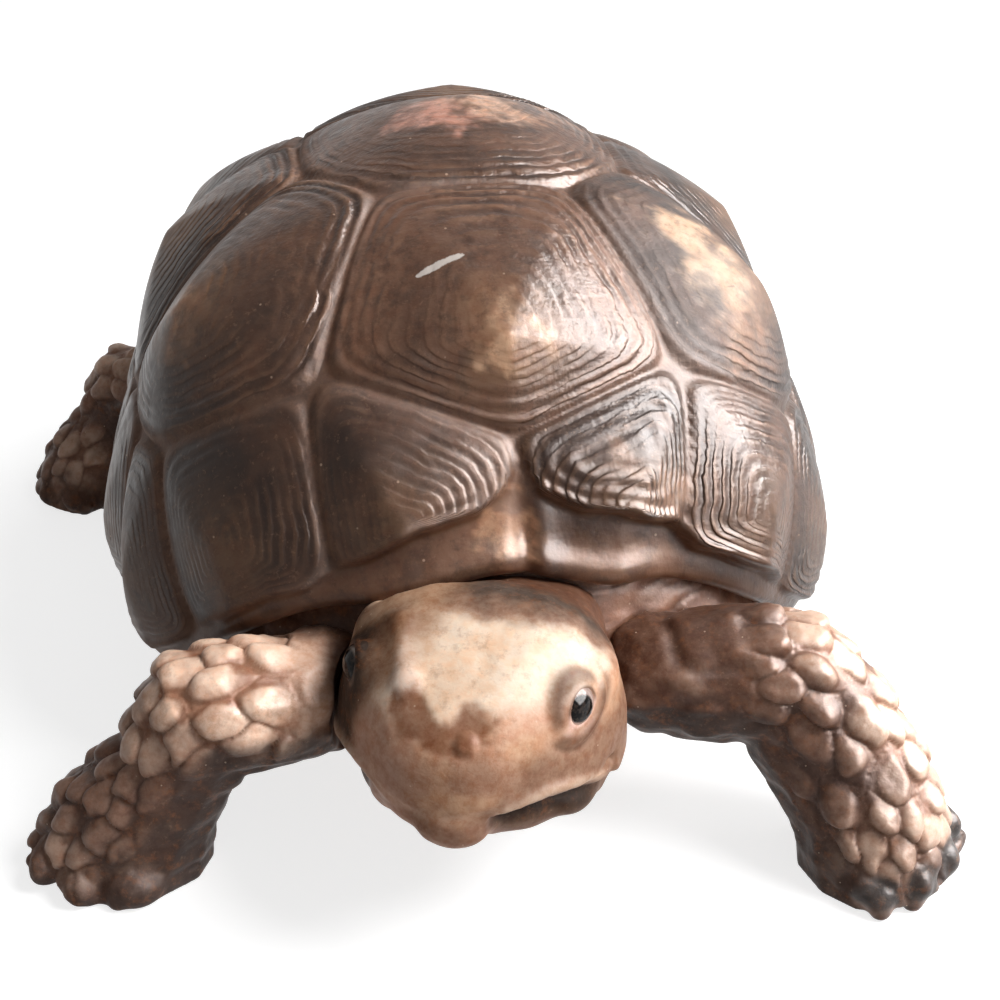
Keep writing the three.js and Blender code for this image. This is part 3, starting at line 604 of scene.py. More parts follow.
def mesh_places(mesh):
    """Places of a mesh's points, as they are stored."""
    places = np.empty(len(mesh.vertices) * 3)
    mesh.vertices.foreach_get("co", places)
    return places.reshape(-1, 3)


def mesh_points(mesh):
    """Points of a mesh in millimetres, in the shell's own frame."""
    return mesh_places(mesh) / MM - SHIFT


def set_points(mesh, points):
    """Moves a mesh's points, keeping them inside the box of the solids."""
    kept = np.clip(points, BOX_LOW, BOX_HIGH)
    mesh.vertices.foreach_set("co", ((kept + SHIFT) * MM).astype(np.float32).ravel())
    mesh.update()


def mesh_normals(mesh):
    """The way straight out at each point of a mesh."""
    normals = np.empty(len(mesh.vertices) * 3)
    mesh.vertex_normals.foreach_get("vector", normals)
    return normals.reshape(-1, 3)


def store(mesh, name, values):
    """Keeps a value for each point, for the finish to read."""
    layer = mesh.attributes.new(name, "FLOAT", "POINT")
    layer.data.foreach_set("value", np.asarray(values, np.float32).ravel())


def store_colour(mesh, name, colours):
    """Keeps a colour for each point, for the finish to read."""
    layer = mesh.attributes.new(name, "FLOAT_COLOR", "POINT")
    full = np.column_stack([np.clip(colours, 0, 1), np.ones(len(colours))])
    layer.data.foreach_set("color", full.astype(np.float32).ravel())


def relax(mesh, points, share, rounds):
    """Evens out a piece where the share is 1, drawing each point towards its neighbours."""
    ends = np.empty(len(mesh.edges) * 2, int)
    mesh.edges.foreach_get("vertices", ends)
    one, other = ends.reshape(-1, 2).T
    count = np.maximum(np.bincount(ends, minlength=len(points)), 1)
    for _ in range(rounds):
        middle = np.stack([
            np.bincount(one, points[other, k], len(points)) + np.bincount(other, points[one, k], len(points))
            for k in range(3)], -1) / count[:, None]
        points = points + RELAX_SHARE * share[:, None] * (middle - points)
    return points


def make_piece(name, mesh, node, material):
    """A finished piece that stands in for its node."""
    piece = bpy.data.objects.new(name, mesh)
    bpy.context.scene.collection.objects.link(piece)
    mesh.materials.clear()
    mesh.materials.append(material)
    for polygon in mesh.polygons:
        polygon.use_smooth = True
    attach(piece, "root")
    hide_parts(node)
    return piece


# Carapace
def even_angles(count):
    """Angles round the shell at even distances along its outline."""
    fine = np.linspace(0, 2 * math.pi, OUTLINE_STEPS)
    outline = dome_point(fine, np.full(len(fine), math.pi / 2), 0)
    lengths = np.concatenate([[0], np.cumsum(np.linalg.norm(np.diff(outline, axis=0), axis=1))])
    return np.interp(np.linspace(0, lengths[-1], count + 1), lengths, fine)


def shell_sheet():
    """A flat sheet with each point's column round the shell and row down from the crown and up the inside."""
    rows = SHELL_ROWS + RIM_ROWS + INNER_ROWS
    shape = bmesh.new()
    bmesh.ops.create_grid(shape, x_segments=SHELL_COLUMNS, y_segments=rows, size=1)
    mesh = finished_mesh("carapace_shell", shape)
    flat = mesh_places(mesh)
    column = np.rint((flat[:, 0] + 1) / 2 * SHELL_COLUMNS).astype(int)
    row = np.rint((flat[:, 1] + 1) / 2 * rows).astype(int)
    return mesh, column, row


def survey_shell(plain):
    """What the carving, the marks and the paint need to know at each point of the plain dome."""
    shell = scute_field(plain)
    shell.x, shell.y, shell.z = plain.T
    shell.tip_x = TIPS[shell.home][:, 0]
    shell.above = shell.z - rim_height(angle_round(plain))
    shell.front = front_share(plain)
    shell.fine = clouds(plain, 5, 40)
    shell.over_ledge = shell.above - ledge_height(plain)
    shell.ledge = shell.over_ledge + 0.8 * (shell.fine - 0.5)
    shell.under_ledge = shell.front * ease(0.6, -0.6, shell.ledge)
    shell.front_plate = (shell.home >= FIRST_MARGINAL) * ease(20, 0, shell.y)
    shell.right_plate = shell.front_plate * (shell.tip_x < 0)
    shell.full_rings = shell.front_plate * ease(0, 6, shell.tip_x) * ease(28, 20, shell.tip_x)
    lively = 0.35 + 0.65 * ease(-0.5, 0.25, shell.facing + 0.6 * (clouds(plain, 9, 41) - 0.5))
    lively = lively * (1 - 0.6 * shell.right_plate)
    shell.lively = np.maximum(lively, 0.7 * shell.front_plate * (shell.tip_x > 0))
    return shell


def shell_relief(shell):
    """How far the carved face stands out of the dome: peaks, seams, ridges, ledge, rolled rim and notch."""
    step = shell.seam + 0.9 * (shell.fine - 0.5)
    ridges = np.cos(2 * math.pi * (step - RIDGE_START) / RIDGE_STEP) * ease(0.0, 0.5, step)
    ridges = ridges * np.maximum(ease(5.5, 1.8, step), 0.75 * shell.full_rings)
    ridges = ridges * (1 - 0.55 * shell.right_plate)
    uneven = 0.35 + 0.65 * ease(0.3, 0.6, clouds(shell.points, 8, 45))
    ridges = RIDGE_RISE * ridges * (0.45 + 0.55 * shell.lively) * (0.4 + 0.6 * uneven)
    flatter = shell.front_plate * ease(-38, -33, shell.tip_x) * (shell.tip_x < -15)
    peak = PEAKS[shell.home] * (1 - shell.facet) * (1 - 0.8 * shell.under_ledge) * (1 - 0.55 * flatter)
    relief = FACE_RISE + SEAM_DEPTH * ease(-0.4, 0.5, step) + ridges + peak
    sharp = (0.35 * ease(-30, -18, shell.x) + 0.65 * ease(2, 8, shell.x)) * ease(33, 25, shell.x)
    drop = LEDGE_DEPTH + LEDGE_LEFT_DEPTH * ease(3, 6, shell.x)
    relief -= shell.front * drop * sharp * ease(0.35, -0.45, shell.ledge)
    relief += shell.front * LEDGE_LIP * sharp * bell(shell.ledge, 0.6, 0.5)
    rolled = RIM_ROLL * (1 - 0.75 * ease(12, 20, shell.x))
    relief += shell.front * rolled * bell(shell.above, 1.0, RIM_ROLL_WIDTH)
    notch = bell(shell.x, NOTCH_AT, NOTCH_WIDTH) * ease(-30, -38, shell.y) * ease(10, 3, shell.above)
    return relief - NOTCH_DEPTH * notch


def wrapped(angle, column, row, outer):
    """Points of the whole sheet: the carved outer face, the rounded rim and the smooth inside."""
    rim = rim_slope(angle)
    edge = dome_point(angle, rim, 0)
    inner_rim = dome_point(angle, rim, SHELL_WALL)
    inner_rim[:, 2] = rim_height(angle)
    last = row == SHELL_ROWS
    edge_relief = np.zeros((SHELL_COLUMNS + 1, 3))
    edge_relief[column[last]] = outer[last] - edge[last]
    lip = edge + edge_relief[column]
    turn = np.clip((row - SHELL_ROWS) / RIM_ROWS, 0, 1) * math.pi
    middle = (lip + inner_rim) / 2
    bead = middle + (lip - middle) * np.cos(turn)[:, None]
    bead[:, 2] -= RIM_BEAD * np.sin(turn)
    climb = np.clip((row - SHELL_ROWS - RIM_ROWS) / INNER_ROWS, 0, 1)
    inside = dome_point(angle, rim * (1 - climb), SHELL_WALL)
    under = np.where((row <= SHELL_ROWS + RIM_ROWS)[:, None], bead, inside)
    return np.where((row <= SHELL_ROWS)[:, None], outer, under)


def store_rings(mesh, shell, on_outside):
    """Growth rings and wrinkles for the finish: where they run and how strong they are."""
    store(mesh, "rings", (shell.grown + 2.4 * (clouds(shell.points, 9, 50) - 0.5)) / RING_STEP)
    patchy = 0.35 + 0.65 * ease(0.35, 0.6, clouds(shell.points, 9, 55))
    near_border = np.maximum(0.4 + 0.6 * ease(10, 3, shell.border), shell.full_rings)
    on_face = ease(0.1, 0.8, shell.border) * ease(0.02, 0.25, shell.facet) * on_outside
    on_face = on_face * (1 - shell.front * ease(0.6, -0.2, shell.ledge))
    store(mesh, "ring_share", on_face * patchy * near_border * shell.lively)
    left = ease(-4, 14, shell.x) * ease(-46, -30, shell.y)
    top = ease(50, 62, shell.z)
    store(mesh, "wrinkle_share", np.clip(0.25 + 0.75 * np.maximum(left, top), 0, 1))


def store_marks(mesh, shell, points):
    """Scratch, hairline crack and wear for the finish."""
    along, aside, length = segment_way(points, *SCRATCH)
    taper = np.sqrt(np.clip(1 - ((along - length / 2) / (length / 2)) ** 2, 0, 1))
    store(mesh, "scratch", aside - SCRATCH_HALF_WIDTH * taper)
    hair = np.full(len(points), NO_CRACK)
    for start, end in zip(CRACK, CRACK[1:]):
        along, aside, length = segment_way(points, start, end)
        beside = (along > -CRACK_OVERLAP) & (along < length + CRACK_OVERLAP)
        hair = np.minimum(hair, np.where(beside, aside, NO_CRACK))
    store(mesh, "hairline", hair)
    rubbed = ease(20, 9, np.linalg.norm(shell.points - np.array(WORN_AT), axis=1))
    seams = ease(2.0, 0.4, shell.seam) * ease(8, -6, shell.x) * (1 - shell.under_ledge)
    store(mesh, "worn", np.maximum(rubbed, 0.8 * seams))


def shell_wash(shell, wash, flecks):
    """How far the brown wash hides the dark ground, in bands along the growth rings, with less of it as
    painted shade on the figure's right side.
    """
    layer = np.stack([shell.grown / 2.1 + 1.6 * (wash - 0.5), shell.home * 7.3, np.full(len(wash), 0.5)], -1)
    bands = cloud(layer, 1.0, 12)
    scute_tone = chance(shell.home, (1, 7, 13), 5)
    costal = (shell.home >= FIRST_COSTAL) & (shell.home < FIRST_MARGINAL)
    share = 0.36 + 1.5 * (wash - 0.5) + 0.75 * (bands - 0.5) + 0.7 * (flecks - 0.5)
    share += 0.16 * (scute_tone - 0.5)
    # Painted shade: less wash on facets that look to the figure's right and on its right flank; the low
    # costals and the marginals are darker paint
    share -= 0.12 * ease(0.3, -0.5, shell.facing) + 0.45 * costal * ease(52, 40, shell.z)
    share -= 0.2 * (shell.home >= FIRST_MARGINAL) + 0.35 * ease(-22, -36, shell.x)
    return share + 0.75 * (shell.home == 0) * ease(-40, -24, shell.y) + 0.4 * (shell.home == 1)


def shell_paint(shell):
    """Brown washes along the growth rings, paler at the peaks, with rubbed patches on the top and flank that
    are partly painted light, and painted shade and shadow on the lip over the neck.
    """
    wash = clouds(shell.points, 15, 3)
    flecks = clouds(shell.points, 3.5, 8)
    away = np.linalg.norm(shell.points - TIPS[shell.home], axis=1)
    peak = ease(9, 1, away + 6 * (flecks - 0.5)) * np.where(shell.home < FIRST_MARGINAL, 0.65, 0.3)
    seam = ease(1.5, 0.4, shell.seam + 0.6 * (flecks - 0.5))
    strip = ease(0.7, -0.5, shell.over_ledge + 1.6 * (flecks - 0.5)) * shell.front
    strip = strip * ease(-26, -14, shell.x) * ease(34, 26, shell.x)
    # The lip's wash, with painted shade towards the figure's right
    strip_wash_and_shade = 1.5 * wash - 0.15 - 0.55 * ease(-2, -12, shell.x)
    # Painted shadow in the notch and under the ledge over the neck
    shade = np.maximum(bell(shell.x, 5.2, 2.6), ease(3, 6, shell.x) * bell(shell.over_ledge, -1.3, 1.3))
    strip_tone = toned(linear(92, 64, 48), linear(124, 90, 69), strip_wash_and_shade)
    strip_tone = toned(strip_tone, linear(66, 44, 33), 0.85 * shade)
    colours = washed(
        linear(48, 33, 26),
        (linear(116, 84, 66), shell_wash(shell, wash, flecks)),
        (linear(176, 134, 102), peak * (0.3 + 0.7 * wash)),
        (linear(106, 78, 61), seam * (0.2 + 0.6 * wash)),
        (strip_tone, strip * 0.92),
    )
    ragged = 9 * (clouds(shell.points, 4, 21) - 0.5) + 7 * (clouds(shell.points, 1.5, 23) - 0.5)
    # Pale patches, partly rubbed paint and partly painted light
    for place, reach, colour, share in WORN_AND_LIT_SPOTS:
        far = np.linalg.norm(shell.points - np.array(place), axis=1) + ragged
        colours = toned(colours, colour, ease(reach, reach * 0.35, far) * share)
    return colours


def make_carapace(material):
    """A sheet wrapped over the dome, round its rim and up the inside, then carved, marked and painted."""
    mesh, column, row = shell_sheet()
    angle = even_angles(SHELL_COLUMNS)[column]
    plain = dome_point(angle, rim_slope(angle) * np.minimum(row / SHELL_ROWS, 1), 0)
    shell = survey_shell(plain)
    outer = plain + dome_normal(plain) * shell_relief(shell)[:, None]
    points = wrapped(angle, column, row, outer)
    set_points(mesh, points)
    store_rings(mesh, shell, row <= SHELL_ROWS)
    store_marks(mesh, shell, points)
    store_colour(mesh, "paint", shell_paint(shell))
    shape = bmesh.new()
    shape.from_mesh(mesh)
    bmesh.ops.remove_doubles(shape, verts=shape.verts, dist=JOIN_DISTANCE)
    bmesh.ops.recalc_face_normals(shape, faces=shape.faces)
    shape.to_mesh(mesh)
    shape.free()
    return make_piece("carapace_shell", mesh, "carapace", material)


# Moulded skin pieces
def turned(turn):
    """A turn about x, y and z in degrees, as a matrix."""
    return Euler([math.radians(t) for t in turn], "XYZ").to_matrix()


def swell(shape, place, radii, turn):
    """Adds a rounded lump to a piece before its skin is drawn over the whole."""
    at = Matrix.Translation(Vector((np.array(place) + SHIFT) * MM))
    size = Matrix.Diagonal(Vector([r * MM for r in radii] + [1]))
    bmesh.ops.create_icosphere(shape, subdivisions=3, radius=1, matrix=at @ turned(turn).to_4x4() @ size)


def skinned(name, node, lumps, grain, rounds):
    """A copy of the node with lumps joined on, drawn over with one even skin and smoothed."""
    shape = bmesh.new()
    shape.from_mesh(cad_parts[node].data)
    bmesh.ops.remove_doubles(shape, verts=shape.verts, dist=1e-6)
    for lump in lumps:
        swell(shape, *lump)
    mesh = finished_mesh(name + "_rough", shape)
    rough = bpy.data.objects.new(name + "_rough", mesh)
    bpy.context.scene.collection.objects.link(rough)
    remesh = rough.modifiers.new("skin", "REMESH")
    remesh.mode = "VOXEL"
    remesh.voxel_size = grain * MM
    smooth = rough.modifiers.new("smooth", "SMOOTH")
    smooth.factor = 0.5
    smooth.iterations = rounds
    drawn = rough.evaluated_get(bpy.context.evaluated_depsgraph_get())
    done = bpy.data.meshes.new_from_object(drawn)
    done.name = name
    bpy.data.objects.remove(rough)
    bpy.data.meshes.remove(mesh)
    return done


def near_lumps(points, lumps, grow):
    """How deep each point lies in the nearest of some lumps, 1 at a middle and 0 at the grown outside."""
    depth = np.zeros(len(points))
    for place, radii, turn in lumps:
        local = (points - np.array(place)) @ np.array(turned(turn))
        depth = np.maximum(depth, 1 - np.linalg.norm(local / (np.array(radii) + grow), axis=1))
    return depth


# Scales
def spread_scales(points, ways, spacing, stretch, seed):
    """Picks the middles of scales among the points of a piece, each a given distance from its neighbours."""
    rank = lattice(np.floor(points / RANK_CELL).astype(np.int64), seed)
    free = np.ones(len(points), bool)
    picks = []
    for n in np.argsort(rank, kind="stable"):
        if free[n]:
            picks.append(n)
            aside = points - points[n]
            along = aside @ ways[n]
            free &= (aside ** 2).sum(1) - along ** 2 * (1 - stretch ** 2) > spacing[n] ** 2
    return np.array(picks)


def scale_field(points, seeds, ways, radii, stretch):
    """Height of the scales' soft domes, room to the next scale, the nearest scale and the way along it."""
    dome = np.empty(len(points))
    gap = np.empty(len(points))
    which = np.empty(len(points), int)
    for start in range(0, len(points), POINTS_AT_ONCE):
        part = slice(start, start + POINTS_AT_ONCE)
        aside = points[part][:, None] - seeds[None]
        along = (aside * ways[None]).sum(2)
        far = np.maximum((aside ** 2).sum(2) - along ** 2 * (1 - stretch ** 2), 0) / radii[None] ** 2
        rise = 1 - far ** SCALE_POWER
        three = np.argpartition(-rise, 2, axis=1)[:, :3]
        best = np.take_along_axis(rise, three, axis=1)
        dome[part] = -soft_least(-best, SCALE_SHARPNESS)
        which[part] = np.take_along_axis(three, best.argmax(1)[:, None], axis=1)[:, 0]
        best.sort(axis=1)
        gap[part] = best[:, 2] - best[:, 1]
    ahead = ((points - seeds[which]) * ways[which]).sum(1)
    return np.clip(dome, 0, SCALE_TALLEST), gap, which, ahead


# Limbs
def limb_line(limb, count=90):
    """Points along a limb's middle and their directions."""
    rows = np.array(limb.stations, float) + np.array([*limb.root, 0])
    spans = len(rows) - 1
    rows = np.vstack([2 * rows[0] - rows[1], rows, 2 * rows[-1] - rows[-2]])
    place = np.linspace(0, spans - 1e-6, count)
    k = place.astype(int)
    t = (place - k)[:, None]
    a, b, c, d = (rows[k + n] for n in range(4))
    square = (2 * a - 5 * b + 4 * c - d) * t ** 2
    cube = (3 * b - a - 3 * c + d) * t ** 3
    line = 0.5 * (2 * b + (c - a) * t + square + cube)
    way = np.gradient(line, axis=0)
    return line, way / np.linalg.norm(way, axis=1)[:, None]


def nearest(points, line):
    """The number of the nearest point of a line."""
    best = np.empty(len(points), int)
    for start in range(0, len(points), POINTS_AT_ONCE):
        part = slice(start, start + POINTS_AT_ONCE)
        best[part] = np.argmin(((points[part][:, None] - line[None]) ** 2).sum(2), axis=1)
    return best


def survey_limb(points, limb):
    """Scales, toes, nails, folds and ridges at each point of a limb."""
    skin = SimpleNamespace()
    line, way = limb_line(limb)
    at = nearest(points, line)
    share = at / (len(line) - 1)
    out = points - line[at]
    out /= np.maximum(np.linalg.norm(out, axis=1), 1e-6)[:, None]
    skin.facing = out @ (np.array(limb.outside) / np.linalg.norm(limb.outside))
    skin.foot = ease(0.78, 0.9, share)
    skin.on_toe = ease(0, 0.25, near_lumps(points, limb.toes, 0.8))
    skin.on_nail = ease(0, 0.25, near_lumps(points, limb.nails, 1.0))

    # Scales of uneven size, with wavering edges
    spacing = np.interp(share, SCALE_STOPS, limb.lengths)
    picks = spread_scales(points, way[at], spacing, SCALE_STRETCH, limb.seed)
    size = spacing[picks] * (0.6 + 0.18 * chance(picks, (1, 3, 5), 9))
    wobble = np.stack([cloud(points, 2.2, 60 + n) for n in range(3)], -1) - 0.5
    skin.dome, gap, which, ahead = scale_field(
        points + SCALE_WAVER * wobble, points[picks], way[at][picks], size, SCALE_STRETCH)
    skin.crack = ease(0.5, 0.0, gap)
    skin.slope = np.clip(ahead / 1.8, -1, 1)
    skin.scale_tone = chance(which, (1, 3, 5), 9)
    skin.scale_rise = chance(which, (11, 1, 2), 14)

    # Where the scales are, and the skin between
    rows = ease(limb.bare, limb.bare + 0.1, share + 0.12 * (clouds(points, 7, 71) - 0.5))
    bound = np.interp(share, COVER_STOPS, limb.cover)
    covered = ease(bound - 0.25, bound + 0.25, skin.facing + 0.5 * (clouds(points, 6, 70) - 0.5))
    skin.scaled = covered * rows * (1 - 0.7 * skin.on_toe) * (1 - skin.on_nail)
    skin.plain_skin = (1 - skin.scaled) * (1 - skin.on_nail) * (1 - skin.on_toe)
    skin.creasing = clouds(points, 1.4, 77) - 0.5
    skin.folds = clouds(points @ np.diag([1, 1, 1.8]), 6, 75)
    skin.wrinkle = ease(0.4, 0.0, np.abs(cloud(points @ np.diag([1, 1, 1.5]), 7, 78) - 0.5) * 2)
    skin.ridge = np.zeros(len(points))
    for start, end, width in limb.ridges:
        skin.ridge = np.maximum(skin.ridge, stroke(points, start, end, width, 2, 1))
    return skin


def limb_relief(skin):
    """Shingled scales, lumpy toes, folds and wrinkles of the plain skin, and ridges."""
    shingle = skin.dome * (0.42 + 0.42 * skin.scale_rise + 0.42 * skin.slope + 0.4 * skin.creasing)
    relief = skin.scaled * (shingle - 0.36 - 0.2 * skin.crack)
    relief += skin.on_toe * (1 - skin.on_nail) * 0.5 * skin.creasing
    relief += skin.plain_skin * (skin.folds - 0.5 - 0.3 * skin.wrinkle)
    relief += (1 - skin.scaled) * skin.on_toe * 0.6 * (skin.folds - 0.5)
    return relief + LIMB_RIDGE_HEIGHT * skin.ridge


def limb_paint(points, normals, skin, limb):
    """Paint, with painted shade below and painted light on the tops and the bend, and the share of the scales
    that is brushed over.
    """
    tone = clouds(points, 8, 80)
    grain = clouds(points, 2, 84)
    lit = np.zeros(len(points))
    for place, reach, amount in limb.pale:
        far = np.linalg.norm(points - np.array(place), axis=1) + 5 * (tone - 0.5)
        lit = np.maximum(lit, amount * ease(reach, reach * 0.35, far))
    # Painted light on the tops, which face up and out, and painted shade on the undersides
    lit_tops = ease(-0.35, 0.65, normals[:, 2] + 0.3 * skin.facing)
    shade = ease(0.25, -0.45, normals[:, 2])
    # The brown wash in the grooves is painted lighter where light is painted on the bend
    groove = toned(GROOVE_BROWN, linear(152, 106, 79), lit)
    in_groove = skin.scaled * np.maximum(ease(0.6, 0.2, skin.dome), 0.9 * skin.crack)
    tops = ease(0.4, 1.0, skin.dome + 0.7 * (grain - 0.5) + 0.9 * skin.creasing)
    brushed = skin.scaled * tops * (1 - 0.6 * skin.crack)
    # Cream brushed on the scale tops, as much as the painted light there
    cream = np.clip(lit * (0.55 + 0.75 * lit_tops) + 0.2 * skin.scale_tone * lit_tops, 0, 1)
    raised = (1 - skin.scaled) * (1 - skin.on_toe) * ease(0.5, 0.75, skin.folds)
    nail = toned(NAIL_GREY, linear(44, 39, 37), ease(0.35, 0.7, grain))
    # Painted shade on the undersides, and on the foot together with its own darker paint
    colours = washed(
        SKIN_BROWN,
        (DEEP_BROWN, 0.6 * ease(0.35, 0.75, tone) + 0.45 * skin.foot + 0.9 * shade),
        (linear(40, 27, 21), 0.6 * shade),
        # Painted light on the pale spots of the bend and on the tops, in beige and cream
        (BEIGE, lit * (0.15 + 0.85 * lit_tops)),
        (groove, in_groove * 0.85),
        (linear(56, 38, 30), skin.plain_skin * skin.wrinkle * 0.4),
        # Painted highlights along the ridges
        (linear(150, 114, 94), skin.ridge * 0.5),
        (CREAM, brushed * cream),
        (linear(156, 120, 102), brushed * (1 - lit) * 0.4 * lit_tops),
        # Painted light on the upper side of the raised folds
        (BEIGE, raised * 0.35 * lit_tops),
        (DEEP_BROWN, skin.on_toe * 0.5 * (0.4 + 0.6 * tone)),
        (nail, skin.on_nail * 0.92),
        (linear(176, 144, 126), skin.on_nail * ease(2.2, 0.8, points[:, 2]) * 0.6),
    )
    return colours * (0.86 + 0.28 * grain)[:, None], brushed


def make_leg(node, limb, material):
    """A limb with shingled scales on its outside, folds at its root, and paint with painted shade below and
    painted light, palest on the bend.
    """
    mesh = skinned(node + "_skin", node, limb.toes + limb.nails, grain=0.28, rounds=14)
    points = mesh_points(mesh)
    normals = mesh_normals(mesh)
    skin = survey_limb(points, limb)
    off_floor = ease(0.4, 2.5, points[:, 2])
    set_points(mesh, points + normals * (limb_relief(skin) * off_floor)[:, None])
    colours, brushed = limb_paint(points, normals, skin, limb)
    store_colour(mesh, "paint", colours)
    store(mesh, "gloss", 0.2 - 1.5 * skin.on_toe * (1 - skin.on_nail) + 0.7 * skin.on_nail + 0.25 * brushed)
    return make_piece(node + "_skin", mesh, node, material)


# Head
def head_local(points):
    """The head's own frame: to its left, forward and up."""
    x = points[:, 0] - HEAD_AT[0]
    y = -(points[:, 1] - HEAD_AT[1])
    side = x * math.cos(HEAD_TURN) + y * math.sin(HEAD_TURN)
    forward = -x * math.sin(HEAD_TURN) + y * math.cos(HEAD_TURN)
    rise = points[:, 2] - HEAD_MID
    left = side * math.cos(HEAD_ROLL) - rise * math.sin(HEAD_ROLL)
    up = side * math.sin(HEAD_ROLL) + rise * math.cos(HEAD_ROLL)
    return left, forward, up + HEAD_MID


def head_point(left, forward, height):
    """A place given in the head's own frame."""
    up = height - HEAD_MID
    side = left * math.cos(HEAD_ROLL) + up * math.sin(HEAD_ROLL)
    rise = HEAD_MID + up * math.cos(HEAD_ROLL) - left * math.sin(HEAD_ROLL)
    x = HEAD_AT[0] + side * math.cos(HEAD_TURN) - forward * math.sin(HEAD_TURN)
    y = HEAD_AT[1] - forward * math.cos(HEAD_TURN) - side * math.sin(HEAD_TURN)
    return (x, y, rise)


def eye_view(points, side):
    """Places round an eye: forward and up across its opening, and outward from it."""
    left, forward, height = head_local(points)
    local = np.stack([left * side, forward, height], -1) - EYE_AT
    ahead = np.array([-EYE_OUT[1], EYE_OUT[0], 0]) / math.hypot(EYE_OUT[0], EYE_OUT[1])
    up = np.cross(EYE_OUT, ahead) / np.linalg.norm(EYE_OUT)
    along = math.cos(EYE_TILT) * (local @ ahead) - math.sin(EYE_TILT) * (local @ up)
    across = math.sin(EYE_TILT) * (local @ ahead) + math.cos(EYE_TILT) * (local @ up)
    return along, across, local @ EYE_OUT


def blotch(points, place, reach, ragged, seed):
    """A soft round patch of paint with a ragged edge, given in the head's own frame."""
    far = np.linalg.norm(points - np.array(head_point(*place)), axis=1)
    return ease(reach, reach * 0.35, far + ragged * (clouds(points, 2.2, seed) - 0.5))


def head_lumps():
    """Lumps of the head and the seats of its eyes."""
    turn = -math.degrees(HEAD_TURN)
    lumps = [(head_point(*place), radii, (0, 0, turn)) for place, radii in HEAD_LUMPS]
    swing = math.degrees(math.atan2(EYE_OUT[1], EYE_OUT[0]))
    for side in (-1, 1):
        deep = (EYE_AT - EYE_SEAT_DEPTH * EYE_OUT) * np.array([side, 1, 1])
        lumps.append((head_point(*deep), EYE_SEAT, (0, 0, turn - side * swing)))
    return lumps


def evened_head(mesh):
    """Points of the head, evened out round the eyes and the nose, where the solids' facets would show."""
    points = mesh_points(mesh)
    even = blotch(points, NOSE_AT, NOSE_REACH, 0, 96)
    for side in (-1, 1):
        ahead, up, away = eye_view(points, side)
        even = np.maximum(even, ease(6.0, 4.0, np.sqrt(ahead ** 2 + up ** 2 + away ** 2)))
    return relax(mesh, points, even, rounds=70)


def survey_head(points):
    """Places in the head's own frame and shared noise, to which each relief adds its marks for the paint."""
    head = SimpleNamespace(points=points)
    head.left, head.forward, head.height = head_local(points)
    head.tone = clouds(points, 6, 91)
    head.grain = clouds(points, 1.6, 95)
    return head


def mouth_relief(head):
    """A recessed lower jaw under a thin lip, with the hooked beak left whole."""
    head.below = np.interp(head.forward, MOUTH_FORWARD, MOUTH_HEIGHT) - head.height
    beak_side = np.where(head.left > 1, head.left - 1, (1 - head.left) * 0.45)
    beak = ease(5.4, 3.6, beak_side) * ease(10.0, 12.5, head.forward)
    mouth = ease(-4.0, -1.5, head.forward) * (1 - beak)
    head.jaw = mouth * ease(-0.1, 0.5, head.below)
    head.lip = mouth * bell(head.below, -0.75, 0.65) * ease(0, 4, head.forward)
    head.snout_crease = bell(head.height - 0.02 * head.left ** 2, 21.6, 0.45) * ease(13.5, 15.5, head.forward)
    depth = (0.6 + 1.1 * ease(2, 10, head.forward)) * (0.55 + 0.45 * ease(5, 1, head.below))
    return 0.45 * head.lip - 0.08 * head.snout_crease - depth * head.jaw * ease(9, 2.5, head.below)


def eye_relief(head):
    """Round each eye a sunk opening with lids, a brow over it and a bag with a crease under it."""
    for name in ("opening", "lids", "brow", "bag", "crease", "inner_corner"):
        setattr(head, name, np.zeros(len(head.points)))
    for side in (-1, 1):
        ahead, up, away = eye_view(head.points, side)
        near = ((np.abs(away) < 4) & (head.left * side > 4)) * (1.0 if side > 0 else RIGHT_FOLDS_SHARE)
        almond = np.sqrt((ahead / EYE_OPENING[0]) ** 2 + (up / EYE_OPENING[1]) ** 2)
        for name, share in (
            ("opening", ease(1.12, 0.9, almond)),
            ("lids", bell(almond, 1.2, 0.14)),
            ("brow", bell(almond, 1.8, 0.45) * ease(-0.5, 1.1, up)),
            ("bag", bell(almond, 2.0, 0.45) * ease(0.2, -1.1, up)),
            ("crease", bell(almond, 2.75, 0.25) * ease(0.2, -1.2, up)),
            ("inner_corner", bell(ahead, 2.0, 0.7) * bell(up, -0.5, 0.5)),
        ):
            setattr(head, name, np.maximum(getattr(head, name), near * share))
    folds = 0.1 * head.lids + 0.3 * head.brow + 0.4 * head.bag - 0.16 * head.crease
    return folds - EYE_OPENING_DEPTH * head.opening


def nose_relief(head):
    """Shallow nostril blotches, a knob beside them and the edge from the nose up to the right temple."""
    head.nostrils = np.zeros(len(head.points))
    for place, reach in NOSTRILS:
        head.nostrils = np.maximum(head.nostrils, blotch(head.points, place, reach, 4.6, 97))
    knob = blotch(head.points, KNOB_AT, 1.5, 0.2, 98)
    head.nose_edge = blotch(head.points, NOSE_EDGE_AT, 2.2, 0.8, 99)
    head.brow_edge = stroke(head.points, head_point(*BROW_EDGE[0]), head_point(*BROW_EDGE[1]), 1.3, 1.5, 0.5)
    return 0.45 * knob - 0.1 * head.nostrils + 0.3 * head.nose_edge + 0.55 * head.brow_edge


def far_lid(head):
    """The thin pale outline of the almond round the right eye, on the side of the head painted in shade."""
    ahead, up, away = eye_view(head.points, -1)
    almond = np.sqrt((ahead / RIGHT_EYE_OPENING[0]) ** 2 + (up / RIGHT_EYE_OPENING[1]) ** 2)
    return bell(almond, 1.0, 0.07) * ((np.abs(away) < 4) & (head.left < -4))


